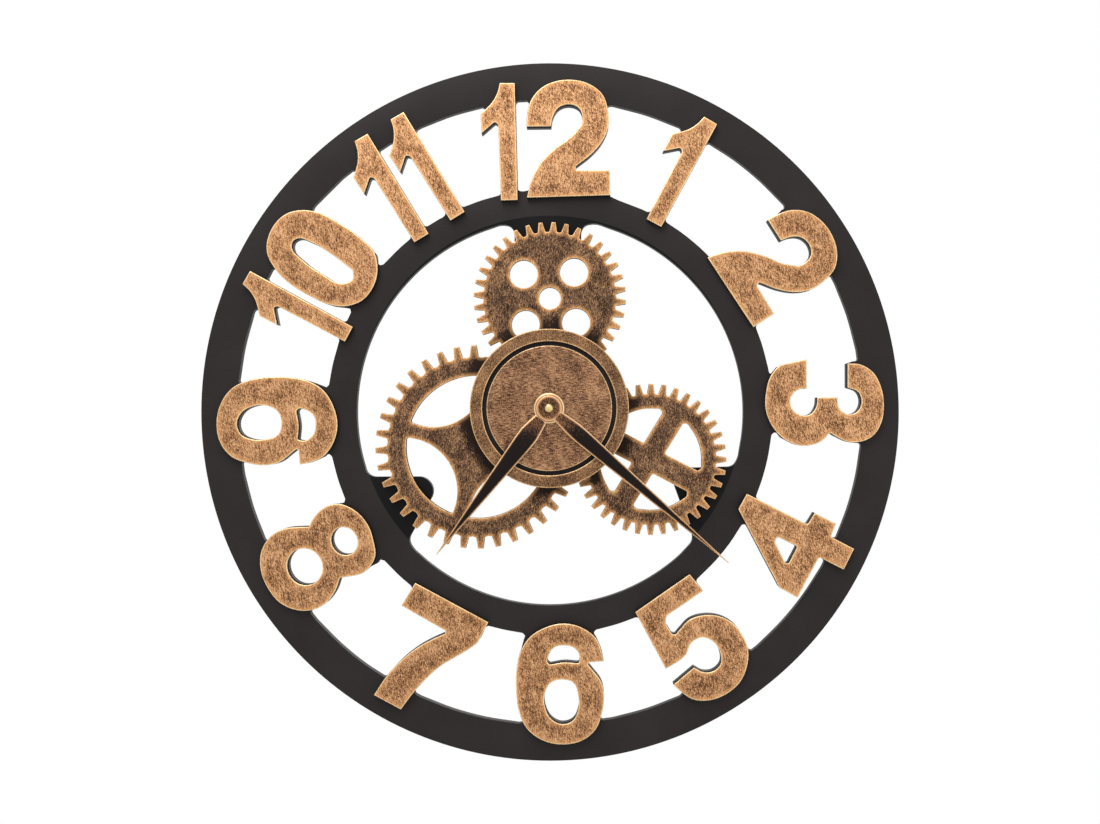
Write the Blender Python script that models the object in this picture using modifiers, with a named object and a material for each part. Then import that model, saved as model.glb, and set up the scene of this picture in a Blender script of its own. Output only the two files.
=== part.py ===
"""Metal wall clock: a cut frame plate, raised numerals, three fixed gears and a battery movement.

Every length below is in millimetres and MM turns it to metres. The dial frame has its centre
on the rings' axis: x to the right, y up and z from the wall towards the viewer. The scene's
origin is where the hanger plate hangs, at twelve o'clock on the outer ring.
"""
import math

import bmesh
import bpy
from mathutils import Matrix, Vector
from mathutils.geometry import interpolate_bezier

MM = 0.001
SEAT_GAP = 0.3  # between pieces that rest on, or screw against, each other
RUN_GAP = 0.3  # radial clearance of a turning piece
OVERLAP = 1.0  # how far shapes that are joined run into each other
PAST = 1.0  # how far a cutter runs past a face

# Rings of the frame plate
OUTER_RING_R = 290.0
OUTER_RING_WIDTH = 29.6
INNER_RING_R = 185.0
INNER_RING_WIDTH = 24.2
FRAME_THICK = 8.0
RING_SIDES = 60
SMALL_FILLET = 3.0
TAB_FILLET = 9.0
TAB_STEPS = 8
LEAST_NOTCH = 30.0  # a narrower corner than this gets no fillet
FILLET_STEPS = 2

# Numerals, which lie on the frame plate
NUMERAL_THICK = 5.4
NUMERAL_STEPS = 1
NUMERAL_HIGH_SHARE = 1 / 1.05  # of the band between the two rings' outer edges
NUMERAL_WIDE_SHARE = 1 / 2.375  # of the radius at the middle of that band
PERCENT = 0.01

# Fixed gears on the frame's tabs
GEAR_THICK = 6.0
GEAR_TEETH = 36
TOOTH_FOOT = 0.8  # how far the middle of a gap lies below its two corners
TOP_GEAR_AT = (0.0, 94.0)
TOP_GEAR_TIP_R = 63.0
TOP_GEAR_DEPTH = 8.1
TOP_GEAR_TIP = 3.3
TOP_GEAR_ROOT = 6.0
TOP_GEAR_PHASE = 2.9
TOP_GEAR_BORE_R = 9.0
TOP_GEAR_HOLE_R = 11.6
TOP_GEAR_HOLE_CIRCLE_R = 29.5
TOP_GEAR_HOLE_CLOCK = 42.7
LEFT_GEAR_AT = (-60.0, -28.9)
LEFT_GEAR_TIP_R = 84.2
LEFT_GEAR_DEPTH = 10.0
LEFT_GEAR_TIP = 4.4
LEFT_GEAR_ROOT = 7.0
LEFT_GEAR_PHASE = -2.0
LEFT_GEAR_RIM_R = 59.0
LENS_ARC_R = 44.7
LENS_ARC_AWAY = 71.4
LENS_CLOCK = 59.0
LENS_CORNER = 2.0
OPENING_STEPS = 8
RIGHT_GEAR_AT = (83.5, -39.2)
RIGHT_GEAR_TIP_R = 62.6
RIGHT_GEAR_DEPTH = 8.4
RIGHT_GEAR_TIP = 3.6
RIGHT_GEAR_ROOT = 6.2
RIGHT_GEAR_PHASE = 0.2
RIGHT_GEAR_RIM_R = 42.0
CROSS_AT = (-2.0, 0.9)
CROSS_WIDTH = 19.1
CROSS_CLOCKS = (31.5, 117.5)
CROSS_FILLET = 3.0
GEAR_CLEARANCE = 0.5
WELL_R = 41.5

# Tabs of the inner ring that carry the gears: a round tip and where the sides meet the ring
TOP_TAB_HALF = 27.7
TOP_TAB_SHIFT = -1.8
TOP_TAB_END = 130.0
LEFT_TAB_TIP = (-109.3, -65.8)
LEFT_TAB_TIP_R = 12.0
LEFT_TAB_FEET_CLOCKS = (251.8, 226.4)  # where its sides meet the middle of the inner ring
RIGHT_TAB_TIP = (114.9, -58.2)
RIGHT_TAB_TIP_R = 11.8
RIGHT_TAB_FEET_CLOCKS = (105.1, 133.9)

# Screws through the tabs into the gears, from behind
TAB_SCREW_R = 1.4
TAB_SCREW_HEAD_R = 2.8
TAB_SCREW_HEAD = 2.0
TAB_SCREW_SPREAD = 5.0
TOP_SCREW_SPREAD = 13.0
LEFT_SCREW_CLOCK = 233.0
RIGHT_SCREW_CLOCK = 121.0
SCREW_BITE = 4.0  # how far a screw runs into the gear
SCREW_CLEARANCE = 0.3
SCREW_SIDES = 12

# Hub: black backplate, outer ring and disc
HUB_RAISE = 3.0
BACKPLATE_R = 62.0
BACKPLATE_THICK = 2.0
HUB_RING_R = 65.0
HUB_RING_BORE_R = 54.8
HUB_DISC_R = 51.3
HUB_DISC_THICK = 3.4
HUB_SIDES = 48
PILLAR_R = 4.0
SPIGOT_R = 1.7
PILLAR_AT = ((0.0, 51.0), (-45.0, -23.0), (44.5, -22.5))
PILLAR_BITE = 1.3

# Hands
HOUR_HAND_LENGTH = 150.0
HOUR_HUB_R = 12.6
HOUR_NECK = 10.6
HOUR_SHOULDER = 16.7
HOUR_SHOULDER_AT = 26.5
HOUR_CLOCK = 217.6
MINUTE_HAND_LENGTH = 192.0
MINUTE_HUB_R = 10.6
MINUTE_NECK = 8.8
MINUTE_SHOULDER = 13.5
MINUTE_SHOULDER_AT = 27.5
MINUTE_CLOCK = 130.7
HAND_THICK = 1.8
HAND_TIP = 0.6
HAND_SIDES = 24
SMALL_SIDES = 16

# Centre stack
BUSH_R = 4.0
WASHER_R = 8.0
WASHER_THICK = 0.8
NUT_ACROSS_FLATS = 12.0
NUT_THICK = 2.5
HOUR_TUBE_R = 2.4
ARBOR_R = 1.2
ARBOR_TIP_R = 0.8
CAP_NUT_R = 3.7
CAP_NUT_HIGH = 3.0
CAP_WALL = 0.6
CAP_DOME = ((0.0, 1.0), (0.45, 0.93), (0.82, 0.7), (1.0, 0.3))  # shares of its radius and height

# Movement
CASE_SIDE = 56.0
CASE_BACK = 3.0
CASE_DEEP = 19.0
CASE_WALL = 1.5
BAY_HIGH = 15.5
BATTERY_R = 7.1
BATTERY_LONG = 49.5
BATTERY_NUB_R = 2.75
BATTERY_NUB = 1.0
KNOB_R = 5.0
KNOB_THICK = 2.0
PIVOT_R = 0.5
PIVOT_DEEP = 0.9
TRAIN_SIDES = 8

# Going train and motion work: teeth, distances, clock angles from the hands' axis, and layers
LEAF = 6
REDUCTION_TEETH = 36
SECONDS_TEETH = 30
THIRD_TEETH = 45
CENTRE_TEETH = 48
CANNON_TEETH = 12
MINUTE_TEETH = 36
MINUTE_LEAF = 10
HOUR_TEETH = 40
SETTING_TEETH = 12
TOOTH_ADDENDUM = 0.6
TOOTH_DEDENDUM = 1.1
REDUCTION_AWAY = 8.1
REDUCTION_CLOCK = 300.0
ROTOR_AWAY = 7.56
THIRD_AWAY = 9.18
THIRD_CLOCK = 30.0
MOTION_AWAY = 9.6
MOTION_CLOCK = 90.0
SETTING_AWAY = 9.6
WHEEL_THICK = 0.8
PINION_LONG = 1.2
PINION_LEAD = 0.2
MAGNET_R = 2.2
MAGNET_THICK = 2.2
MAGNET_BACK = 6.5
REDUCTION_BACK = 9.1
SECONDS_BACK = 11.1
THIRD_BACK = 13.0
BRIDGE_BACK = 14.15
BRIDGE_THICK = 0.65
BRIDGE_HALF = 2.5
BRIDGE_FOOT = 21.0
BRIDGE_FOOT_HALF = 4.0
CENTRE_BACK = 15.1
MINUTE_ARBOR_BACK = 15.1
ARBOR_HOLLOW = 1.5
MINUTE_BACK = 16.9
POST_R = 0.8
SETTING_ARBOR_R = 1.0

# Battery, board, stator and coil, placed from the hands' axis
BATTERY_SHIFT = 1.05
CONTACT_THICK = 0.3
CONTACT_HALF = 4.0
BOARD_CORNERS = ((3.0, 17.0), (25.0, 25.8))
BOARD_BACK = 5.2
BOARD_THICK = 1.2
BOARD_POSTS = ((5.5, 23.5), (22.5, 23.5))
BOARD_POST_R = 1.5
CRYSTAL_AT = (9.0, 19.5)
CRYSTAL_R = 1.0
CRYSTAL_LONG = 6.5
STATOR_BACK = 7.0
STATOR_THICK = 1.2
STATOR_POSTS = ((-14.0, 20.0), (-14.0, -6.0))
STATOR_ARM_HALF = 2.2
STATOR_EYE_WALL = 0.9
COIL_X = -22.0
COIL_R = 2.9
COIL_START = -3.2
COIL_LONG = 20.2
CORE_HALF = 1.0
CORE_THICK = 1.2
CORE_ENDS = (-8.0, 21.5)

# Hanger plate in the back of the outer ring
HANGER_WIDE = 34.0
HANGER_HIGH = 20.0
HANGER_THICK = 1.5
HANGER_SCREW_APART = 24.0
KEYHOLE_R = 4.0
KEYHOLE_SLOT_R = 1.9
KEYHOLE_LONG = 4.0
NAIL_POCKET_DEEP = 5.0
KEYHOLE_LEAN = math.degrees(math.asin(KEYHOLE_SLOT_R / KEYHOLE_R))
HANGER_SCREW_HEAD_R = 2.2
HANGER_SCREW_HEAD = 1.2
HANGER_SCREW_SINK = 0.2

# Numeral outlines, one stroke shape each, about their own middle, in hundredths of a numeral.
# Bend 0 is a sharp corner and bend 1 is a point on a round stretch.
ONE = ((13, 48.5, 0), (0.5, 48.5, 0), (-1.5, 40.5, 1), (-5.5, 33, 1), (-10.5, 27.5, 1), (-15.4, 23, 0),
       (-14.6, 6.7, 0), (-3, 16.8, 1), (-0.8, 13, 0), (1.5, -48.8, 0), (15.4, -48.4, 0))
TWO = ((-34.3, 9.2, 0), (-34.1, 17.6, 1), (-31.3, 29.7, 1), (-22.7, 40.8, 1), (-9.1, 47, 1), (1.5, 48.1, 1),
       (18.7, 44, 1), (28.7, 35.8, 1), (33.2, 22.6, 1), (33.4, 9, 1), (28.7, -2.4, 1), (19.4, -13.5, 1),
       (5.8, -24.2, 0), (7.3, -27, 0), (34.6, -26.9, 0), (35.1, -47.6, 0), (-34.1, -49.7, 0),
       (-30.6, -36, 1), (-22.7, -21, 1), (-10.6, -8.9, 1), (3, 1.1, 1), (11, 10.4, 1), (11.9, 15.4, 1),
       (9.1, 24.4, 1), (0.9, 27.6, 1), (-7.4, 25.1, 1), (-12.7, 16.9, 1), (-14, 9.4, 0))
THREE = ((-32.2, 19.4, 0), (-31.5, 29.7, 1), (-25.4, 40.1, 1), (-12.6, 47.2, 1), (3.1, 49.5, 1),
         (17.4, 47.2, 1), (28.1, 40.1, 1), (32.6, 30.4, 1), (32.8, 20, 1), (28.1, 9.4, 1), (24.9, 4.8, 0),
         (30.3, 0.4, 1), (35.3, -9.6, 1), (35.5, -21.7, 1), (29.9, -33.9, 1), (19.6, -43.1, 1),
         (6, -48.4, 1), (-8.3, -48.1, 1), (-21.9, -44.2, 1), (-29.4, -38.1, 1), (-33.6, -23.9, 1),
         (-35.6, -14.4, 0), (-11.3, -14.4, 0), (-10.8, -20.3, 1), (-4.7, -27.1, 1), (4.6, -26.7, 1),
         (10.6, -19.2, 1), (10.3, -12.1, 1), (3.1, -6.4, 1), (-4, -5.6, 0), (-4.2, 11.1, 0),
         (4.6, 12.6, 1), (9.9, 19.7, 1), (8.1, 26.9, 1), (0.3, 30.9, 1), (-8.3, 28.3, 1), (-12.2, 19.4, 0))
FOUR = ((4.4, 49.8, 0), (19, 50, 0), (22, -6.3, 0), (33.3, -6.6, 0), (34.4, -26.3, 0), (22.9, -28.1, 0),
        (23.9, -49.7, 0), (4.6, -50.9, 0), (3.3, -28.1, 0), (-34.6, -29.3, 0), (-34.9, -13.4, 0),
        (-33.5, -10.2, 0))
FOUR_EYE = ((-4.2, 9.4, 0), (0.8, 10.4, 0), (1.9, -8.1, 0), (-14.2, -8.8, 0), (-14.4, -5.6, 0))
FIVE = ((-32.6, 46.2, 0), (22.2, 50.9, 0), (24.9, 33.4, 0), (-10.5, 30.6, 0), (-14, 28, 0), (-15.3, 15.9, 0),
        (-13.4, 13.3, 0), (-8.7, 15.1, 1), (2.7, 18.4, 1), (15.6, 15.5, 1), (26.3, 8, 1), (32.7, -2, 1),
        (34.7, -13.4, 1), (32.7, -27.7, 1), (24.9, -39.1, 1), (12.7, -47.7, 1), (-1.6, -50.2, 1),
        (-15.9, -47.7, 1), (-28, -39.5, 1), (-33, -29.1, 1), (-35.3, -21.6, 0), (-13.4, -17.7, 0),
        (-8.7, -24.9, 1), (-1.6, -28.3, 1), (7, -26.3, 1), (11.6, -17.7, 1), (11.3, -7.7, 1),
        (4.9, 0.4, 1), (-5.1, 0.9, 1), (-13.7, -5.2, 0), (-34.2, -7.1, 0))
SIX = ((35.9, 18.7, 0), (34.5, 25.9, 1), (29.5, 38, 1), (20.2, 45.5, 1), (3.5, 50, 1), (-13.4, 46.2, 1),
       (-24.8, 39.1, 1), (-32.6, 27.3, 1), (-36.2, 11.6, 1), (-36.4, -6.3, 1), (-34.1, -22.7, 1),
       (-27.6, -37, 1), (-15.5, -46.3, 1), (2.5, -50.2, 1), (19.5, -46.3, 1), (29.5, -37.7, 1),
       (34.5, -24.9, 1), (36.4, -9.9, 1), (34.1, 1.6, 1), (27, 11.2, 1), (23.2, 15.9, 0), (23.8, 17.8, 0))
SIX_UPPER_EYE = ((-9.8, 22.3, 1), (-4.1, 30.5, 1), (3.5, 31.8, 1), (10.9, 30.1, 1), (16.1, 23, 1),
                 (15.6, 16.9, 0), (3.5, 17.8, 1), (-7.6, 16, 0), (-10.1, 17.5, 0))
SIX_LOWER_EYE = ((1.6, 3.6, 1), (10.9, 0.9, 1), (14.9, -9.1, 1), (15, -20.7, 1), (10.2, -30.6, 1),
                 (1.6, -33.3, 1), (-6.9, -29.5, 1), (-12.5, -19.1, 1), (-12.6, -7.7, 1), (-7.6, 0.9, 1))
SEVEN = ((-34.8, 46.9, 0), (34, 48.9, 0), (34.7, 31, 1), (32.5, 24.5, 1), (26.9, 13.7, 1), (18.6, -0.6, 1),
         (13.3, -15.6, 1), (9.7, -31.3, 1), (7.4, -49.9, 0), (-18, -50.6, 0), (-16.7, -31.3, 1),
         (-12.4, -13.4, 1), (-6, 2.3, 1), (1.9, 15.1, 1), (7.8, 23, 0), (6.5, 25, 0), (-35.3, 24.8, 0))
EIGHT = ((-2.5, 48, 1), (11.6, 45.1, 1), (22.4, 40.5, 1), (28.4, 30.9, 1), (29.5, 24.4, 1), (26.3, 13, 1),
         (23.5, 6, 0), (30.9, -2.7, 1), (35.6, -13.4, 1), (35.4, -26.3, 1), (28.8, -38.4, 1),
         (16.6, -47.4, 1), (0.9, -50, 1), (-15.5, -47.4, 1), (-28.4, -39.1, 1), (-34.8, -27, 1),
         (-35, -14.9, 1), (-29.4, -1.6, 1), (-26, 4.6, 0), (-31.2, 13.7, 1), (-33.4, 24.4, 1),
         (-29.8, 35.9, 1), (-20.5, 43.7, 1))
EIGHT_UPPER_EYE = ((-0.9, 35.0, 1), (7.5, 31.9, 1), (11.0, 24.4, 1), (7.5, 16.9, 1), (-0.9, 13.8, 1),
                   (-9.3, 16.9, 1), (-12.8, 24.4, 1), (-9.3, 31.9, 1))
EIGHT_LOWER_EYE = ((1.1, -0.2, 1), (12.1, -4.4, 1), (16.6, -14.6, 1), (12.1, -24.8, 1), (1.1, -29.0, 1),
                   (-9.9, -24.8, 1), (-14.4, -14.6, 1), (-9.9, -4.4, 1))
ZERO = ((1, 48.3, 1), (17.5, 44, 1), (26.8, 34, 1), (31.8, 21.1, 1), (32.7, 3.3, 1), (31.1, -18.1, 1),
        (26.1, -35.3, 1), (15.4, -44.6, 1), (1.1, -48.7, 1), (-13.2, -46.4, 1), (-23, -38.5, 1),
        (-29.5, -26, 1), (-31.7, -7.4, 1), (-30.9, 14, 1), (-26.4, 29.7, 1), (-18.2, 41.9, 1))
ZERO_EYE = ((0, 27.7, 1), (4.6, 25.4, 1), (7.3, 15, 1), (7.3, -4, 1), (4.6, -26, 1), (-2.5, -32.5, 1),
            (-10, -23.9, 1), (-10.9, -8, 1), (-9, 13, 1), (-4.5, 25.8, 1))

# Name, outline, eyes, place of its middle across and out from the middle of the band, its own
# turn, 1 if it is drawn above the centre or -1 below it, and then the cell's clockwise turn about
# the dial. Outlines and places are in hundredths of a numeral's height and width.
NUMERALS = (
    ("numeral_1", ONE, (), (-12.1, -10.5), 0, 1, 30),
    ("numeral_2", TWO, (), (-12.9, -10.1), 1.6, 1, 60),
    ("numeral_3", THREE, (), (-8.0, -10.6), 0, 1, 90),
    ("numeral_4", FOUR, (FOUR_EYE,), (4.0, -12.6), 0, -1, -60),
    ("numeral_5", FIVE, (), (11.0, -12.6), 0, -1, -30),
    ("numeral_6", SIX, (SIX_UPPER_EYE, SIX_LOWER_EYE), (8.5, -12.6), 0, -1, 0),
    ("numeral_7", SEVEN, (), (9.0, -12.6), 0, -1, 30),
    ("numeral_8", EIGHT, (EIGHT_UPPER_EYE, EIGHT_LOWER_EYE), (8.5, -12.6), 0, -1, 60),
    ("numeral_9", SIX, (SIX_UPPER_EYE, SIX_LOWER_EYE), (-7.6, -11.9), 180, 1, -90),
    ("numeral_10_one", ONE, (), (-35.9, -12.8), 0, 1, -60),
    ("numeral_10_zero", ZERO, (ZERO_EYE,), (15.5, -10.6), 0, 1, -60),
    ("numeral_11_first", ONE, (), (-28.4, -11.2), 0, 1, -30),
    ("numeral_11_second", ONE, (), (6.4, -10.5), 0, 1, -30),
    ("numeral_12_one", ONE, (), (-42.0, -13.8), 0, 1, 0),
    ("numeral_12_two", TWO, (), (15.0, -10.6), 0, 1, 0),
)

# Places that follow from the sizes above, measured from the wall
NUMERAL_BACK = FRAME_THICK + SEAT_GAP
GEAR_BACK = FRAME_THICK + SEAT_GAP
GEAR_FRONT = GEAR_BACK + GEAR_THICK
CASE_FRONT = CASE_BACK + CASE_DEEP
BACKPLATE_BACK = CASE_FRONT + SEAT_GAP
DISC_BACK = BACKPLATE_BACK + BACKPLATE_THICK + SEAT_GAP
DISC_FRONT = DISC_BACK + HUB_DISC_THICK
WASHER_BACK = DISC_FRONT + SEAT_GAP
NUT_BACK = WASHER_BACK + WASHER_THICK + SEAT_GAP
BUSH_FRONT = NUT_BACK + NUT_THICK + SEAT_GAP
HOUR_HAND_BACK = BUSH_FRONT + RUN_GAP
MINUTE_HAND_BACK = HOUR_HAND_BACK + HAND_THICK + RUN_GAP
CAP_BACK = MINUTE_HAND_BACK + HAND_THICK + SEAT_GAP
OUTER_RING_BORE_R = OUTER_RING_R - OUTER_RING_WIDTH
INNER_RING_BORE_R = INNER_RING_R - INNER_RING_WIDTH
INNER_RING_MIDDLE_R = INNER_RING_R - INNER_RING_WIDTH / 2
BAND_MIDDLE_R = (OUTER_RING_R + INNER_RING_R) / 2
NUMERAL_HIGH = (OUTER_RING_R - INNER_RING_R) * NUMERAL_HIGH_SHARE
NUMERAL_WIDE = BAND_MIDDLE_R * NUMERAL_WIDE_SHARE
DIAL_DROP = OUTER_RING_R - OUTER_RING_WIDTH / 2
HUB = (0.0, HUB_RAISE)


def clock(radius, degrees):
    """A point at a radius and a clock angle, clockwise from twelve."""
    turn = math.radians(degrees)
    return (radius * math.sin(turn), radius * math.cos(turn))


def moved(points, at=(0.0, 0.0), clockwise=0.0):
    """The points turned clockwise about their own zero and then moved."""
    turn = math.radians(clockwise)
    cos, sin = math.cos(turn), math.sin(turn)
    return [(x * cos + y * sin + at[0], y * cos - x * sin + at[1]) for x, y in points]


def circle(radius, sides, at=(0.0, 0.0)):
    """A round outline as seen from the front."""
    step = 360 / sides
    return [(at[0] + x, at[1] + y) for x, y in (clock(radius, -step * k) for k in range(sides))]


def bar(start, end, half):
    """The outline of a straight bar that runs past both of its ends by half its width."""
    start, end = Vector(start), Vector(end)
    along = (end - start).normalized() * half
    side = Vector((-along.y, along.x))
    corners = (start - along - side, end + along - side, end + along + side, start - along + side)
    return [(corner.x, corner.y) for corner in corners]


def smooth(points, steps):
    """The outline through points with a bend mark: curves at the round ones, corners at the rest."""
    spots = [Vector((x, y)) for x, y, _ in points]
    count = len(points)
    outline = []
    for here in range(count):
        there = (here + 1) % count
        start, end = spots[here], spots[there]
        reach = (end - start).length / 3
        leave = end - start
        arrive = end - start
        if points[here][2]:
            leave = end - spots[here - 1]
        if points[there][2]:
            arrive = spots[(there + 1) % count] - start
        outline.append((start.x, start.y))
        if not points[here][2] and not points[there][2]:
            continue
        first = start + leave.normalized() * reach
        second = end - arrive.normalized() * reach
        bends = interpolate_bezier(start, first, second, end, steps + 1)
        outline += [(bend.x, bend.y) for bend in bends[1:-1]]
    return outline


def numeral_outlines(row, steps):
    """The outline and the eyes of one numeral in the dial frame."""
    _, body, eyes, (x, away), own_turn, side, cell_turn = row
    loops = []
    for loop in (body, *eyes):
        drawn = moved(smooth(loop, steps), (x, away * side), -own_turn)
        upright = [(across * NUMERAL_WIDE * PERCENT, side * BAND_MIDDLE_R + up * NUMERAL_HIGH * PERCENT)
                   for across, up in drawn]
        loops.append(moved(upright, (0.0, 0.0), cell_turn))
    return loops


def area(points):
    """The signed area inside an outline, positive where it runs counter-clockwise."""
    total = 0.0
    for (x0, y0), (x1, y1) in zip(points, points[1:] + points[:1]):
        total += x0 * y1 - x1 * y0
    return total / 2


def clear_scene():
    for obj in list(bpy.data.objects):
        bpy.data.objects.remove(obj, do_unlink=True)


def collection(name, shown):
    made = bpy.data.collections.new(name)
    made.hide_render = not shown
    bpy.context.scene.collection.children.link(made)
    return made


clear_scene()
PARTS = collection("metal_wall_clock", True)
CUTTERS = collection("cutters", False)

# The dial frame: its z runs from the wall, which is the scene's +Y, towards the viewer
DIAL = bpy.data.objects.new("dial_frame_origin", None)
DIAL.location = (0.0, 0.0, -DIAL_DROP * MM)
DIAL.rotation_euler = (math.radians(90), 0.0, 0.0)
PARTS.objects.link(DIAL)


def finish(name, colour, metallic, roughness):
    material = bpy.data.materials.new(name)
    material.use_nodes = True
    shader = material.node_tree.nodes["Principled BSDF"]
    shader.inputs["Base Color"].default_value = (*colour, 1.0)
    shader.inputs["Metallic"].default_value = metallic
    shader.inputs["Roughness"].default_value = roughness
    return material


BLACK_PAINT = ("black_paint", (0.035, 0.030, 0.028), 0.3, 0.5)
BRONZE = ("antique_bronze", (0.50, 0.25, 0.11), 1.0, 0.4)
DARK_BRONZE = ("dark_bronze", (0.32, 0.18, 0.09), 1.0, 0.45)
BRASS = ("brass", (0.80, 0.58, 0.28), 1.0, 0.3)
STEEL = ("steel", (0.56, 0.56, 0.55), 1.0, 0.35)
CASE_PLASTIC = ("case_plastic", (0.03, 0.03, 0.03), 0.0, 0.5)
WHEEL_PLASTIC = ("wheel_plastic", (0.75, 0.75, 0.72), 0.0, 0.4)
BOARD_GREEN = ("board_laminate", (0.03, 0.16, 0.07), 0.0, 0.5)
COPPER = ("coil_copper", (0.65, 0.28, 0.12), 1.0, 0.35)
BATTERY_SLEEVE = ("battery_sleeve", (0.10, 0.11, 0.12), 0.2, 0.4)


def place(obj, at, back=0.0, clockwise=0.0, shown=True):
    """Puts an object in the dial frame: at across the dial, back from the wall."""
    (PARTS if shown else CUTTERS).objects.link(obj)
    obj.parent = DIAL
    obj.location = (at[0] * MM, at[1] * MM, back * MM)
    obj.rotation_euler = (0.0, 0.0, -math.radians(clockwise))
    if not shown:
        obj.hide_render = True
        obj.display_type = "WIRE"
    return obj


def paint(obj, look):
    made = finish(obj.name + "_" + look[0], *look[1:])
    obj.data.materials.clear()
    obj.data.materials.append(made)
    return obj


def plate(name, loops, thick, at=(0.0, 0.0), back=0.0, clockwise=0.0, shown=True):
    """A flat piece: outlines filled with their holes, extruded, then welded into one mesh."""
    flat = bpy.data.curves.new(name + "_outline", "CURVE")
    flat.dimensions = "2D"
    flat.fill_mode = "BOTH"
    flat.extrude = thick / 2 * MM
    for loop in loops:
        spline = flat.splines.new("POLY")
        spline.points.add(len(loop) - 1)
        for point, (x, y) in zip(spline.points, loop):
            point.co = (x * MM, y * MM, 0.0, 1.0)
        spline.use_cyclic_u = True
    curve = bpy.data.objects.new(name + "_outline", flat)
    mesh = bpy.data.meshes.new_from_object(curve)
    bpy.data.objects.remove(curve, do_unlink=True)
    mesh.name = name
    work = bmesh.new()
    work.from_mesh(mesh)
    bmesh.ops.remove_doubles(work, verts=work.verts, dist=0.002 * MM)
    bmesh.ops.recalc_face_normals(work, faces=work.faces)
    bmesh.ops.translate(work, verts=work.verts, vec=(0.0, 0.0, thick / 2 * MM))
    work.to_mesh(mesh)
    work.free()
    return place(bpy.data.objects.new(name, mesh), at, back, clockwise, shown)


def rod(name, radius, long, at=(0.0, 0.0), back=0.0, sides=TRAIN_SIDES, shown=True, front_radius=None):
    """A cylinder, or a cone frustum, that stands on its back face."""
    work = bmesh.new()
    top = radius if front_radius is None else front_radius
    bmesh.ops.create_cone(work, cap_ends=True, segments=sides, radius1=radius * MM, radius2=top * MM,
                          depth=long * MM)
    bmesh.ops.translate(work, verts=work.verts, vec=(0.0, 0.0, long / 2 * MM))
    mesh = bpy.data.meshes.new(name)
    work.to_mesh(mesh)
    work.free()
    if sides > TRAIN_SIDES:
        mesh.shade_smooth()
        mesh.set_sharp_from_angle(angle=math.radians(40))
    return place(bpy.data.objects.new(name, mesh), at, back, 0.0, shown)


def lying_rod(name, radius, long, start, sides, along="X", shown=True):
    """A cylinder that lies across the dial from its start point (x, y, height from the wall)."""
    obj = rod(name, radius, long, (start[0], start[1]), start[2], sides, shown)
    if along == "X":
        obj.rotation_euler = (0.0, math.radians(90), 0.0)
    else:
        obj.rotation_euler = (math.radians(-90), 0.0, 0.0)
    return obj


def block(name, low, high, shown=True):
    """A box between two corners (x, y, height from the wall)."""
    work = bmesh.new()
    bmesh.ops.create_cube(work, size=1.0)
    size = Vector(high) - Vector(low)
    bmesh.ops.scale(work, verts=work.verts, vec=size * MM)
    bmesh.ops.translate(work, verts=work.verts, vec=(Vector(high) + Vector(low)) / 2 * MM)
    mesh = bpy.data.meshes.new(name)
    work.to_mesh(mesh)
    work.free()
    return place(bpy.data.objects.new(name, mesh), (0.0, 0.0), 0.0, 0.0, shown)


def turned(name, profile, at, sides, back=0.0, shown=True):
    """A turned piece: a closed profile of (radius, height) spun about the dial's z."""
    mesh = bpy.data.meshes.new(name)
    ends = [(0.0, profile[0][1])] if profile[0][0] else []
    points = ends + list(profile)
    if profile[-1][0]:
        points.append((0.0, profile[-1][1]))
    mesh.from_pydata([(r * MM, 0.0, z * MM) for r, z in points],
                     [(k, k + 1) for k in range(len(points) - 1)], [])
    obj = bpy.data.objects.new(name, mesh)
    spin = obj.modifiers.new("turn", "SCREW")
    spin.steps = sides
    spin.render_steps = sides
    spin.use_merge_vertices = True
    spin.merge_threshold = 0.00001
    spin.use_normal_calculate = False
    return place(obj, at, back, 0.0, shown)


def boolean(target, others, operation):
    """One Boolean with a collection of helper shapes; a second call of its kind adds to it."""
    last = target.modifiers[-1] if target.modifiers else None
    if last and last.type == "BOOLEAN" and last.operation == operation:
        group = last.collection
    else:
        group = bpy.data.collections.new("%s_%s" % (target.name, operation.lower()))
        group.hide_render = True
        CUTTERS.children.link(group)
        step = target.modifiers.new(operation.lower(), "BOOLEAN")
        step.operation = operation
        step.operand_type = "COLLECTION"
        step.collection = group
        step.solver = "EXACT"
    for other in others:
        group.objects.link(other)
        if other.name in CUTTERS.objects:
            CUTTERS.objects.unlink(other)
    return target


def join(target, *others):
    return boolean(target, others, "UNION")


def cut(target, *others):
    return boolean(target, others, "DIFFERENCE")


def fillet(corner, along, up, radius):
    """A web with a hollow arc in the corner at a point between two directions."""
    half = along.angle(up) / 2
    side = radius / math.tan(half)
    middle = (along + up).normalized()
    centre = corner + middle * (radius / math.sin(half))
    first = corner + along * side
    last = corner + up * side
    sweep = (first - centre).angle_signed(last - centre)
    web = [corner - middle * OVERLAP, first]
    for k in range(1, FILLET_STEPS):
        arm = (first - centre).copy()
        arm.rotate(Matrix.Rotation(-sweep * k / FILLET_STEPS, 2))
        web.append(centre + arm)
    web.append(last)
    return [(point.x, point.y) for point in web]


def ring_fillets(loop, radius, outwards, size):
    """A web at each crossing of an outline with a ring's edge, on the open side of both."""
    webs = []
    sense = 1 if area(loop) > 0 else -1
    for here, there in zip(loop, loop[1:] + loop[:1]):
        start, end = Vector(here), Vector(there)
        if (start.length - radius) * (end.length - radius) >= 0:
            continue
        share = (radius - start.length) / (end.length - start.length)
        corner = start.lerp(end, share)
        travel = (end - start).normalized()
        outside = Vector((travel.y, -travel.x)) * sense
        up = travel if (end.length > start.length) == outwards else -travel
        along = Vector((-corner.y, corner.x)).normalized()
        if along.dot(outside) < 0:
            along = -along
        if along.angle(up) > math.radians(LEAST_NOTCH):
            webs.append(fillet(corner, along, up, size))
    return webs


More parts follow.
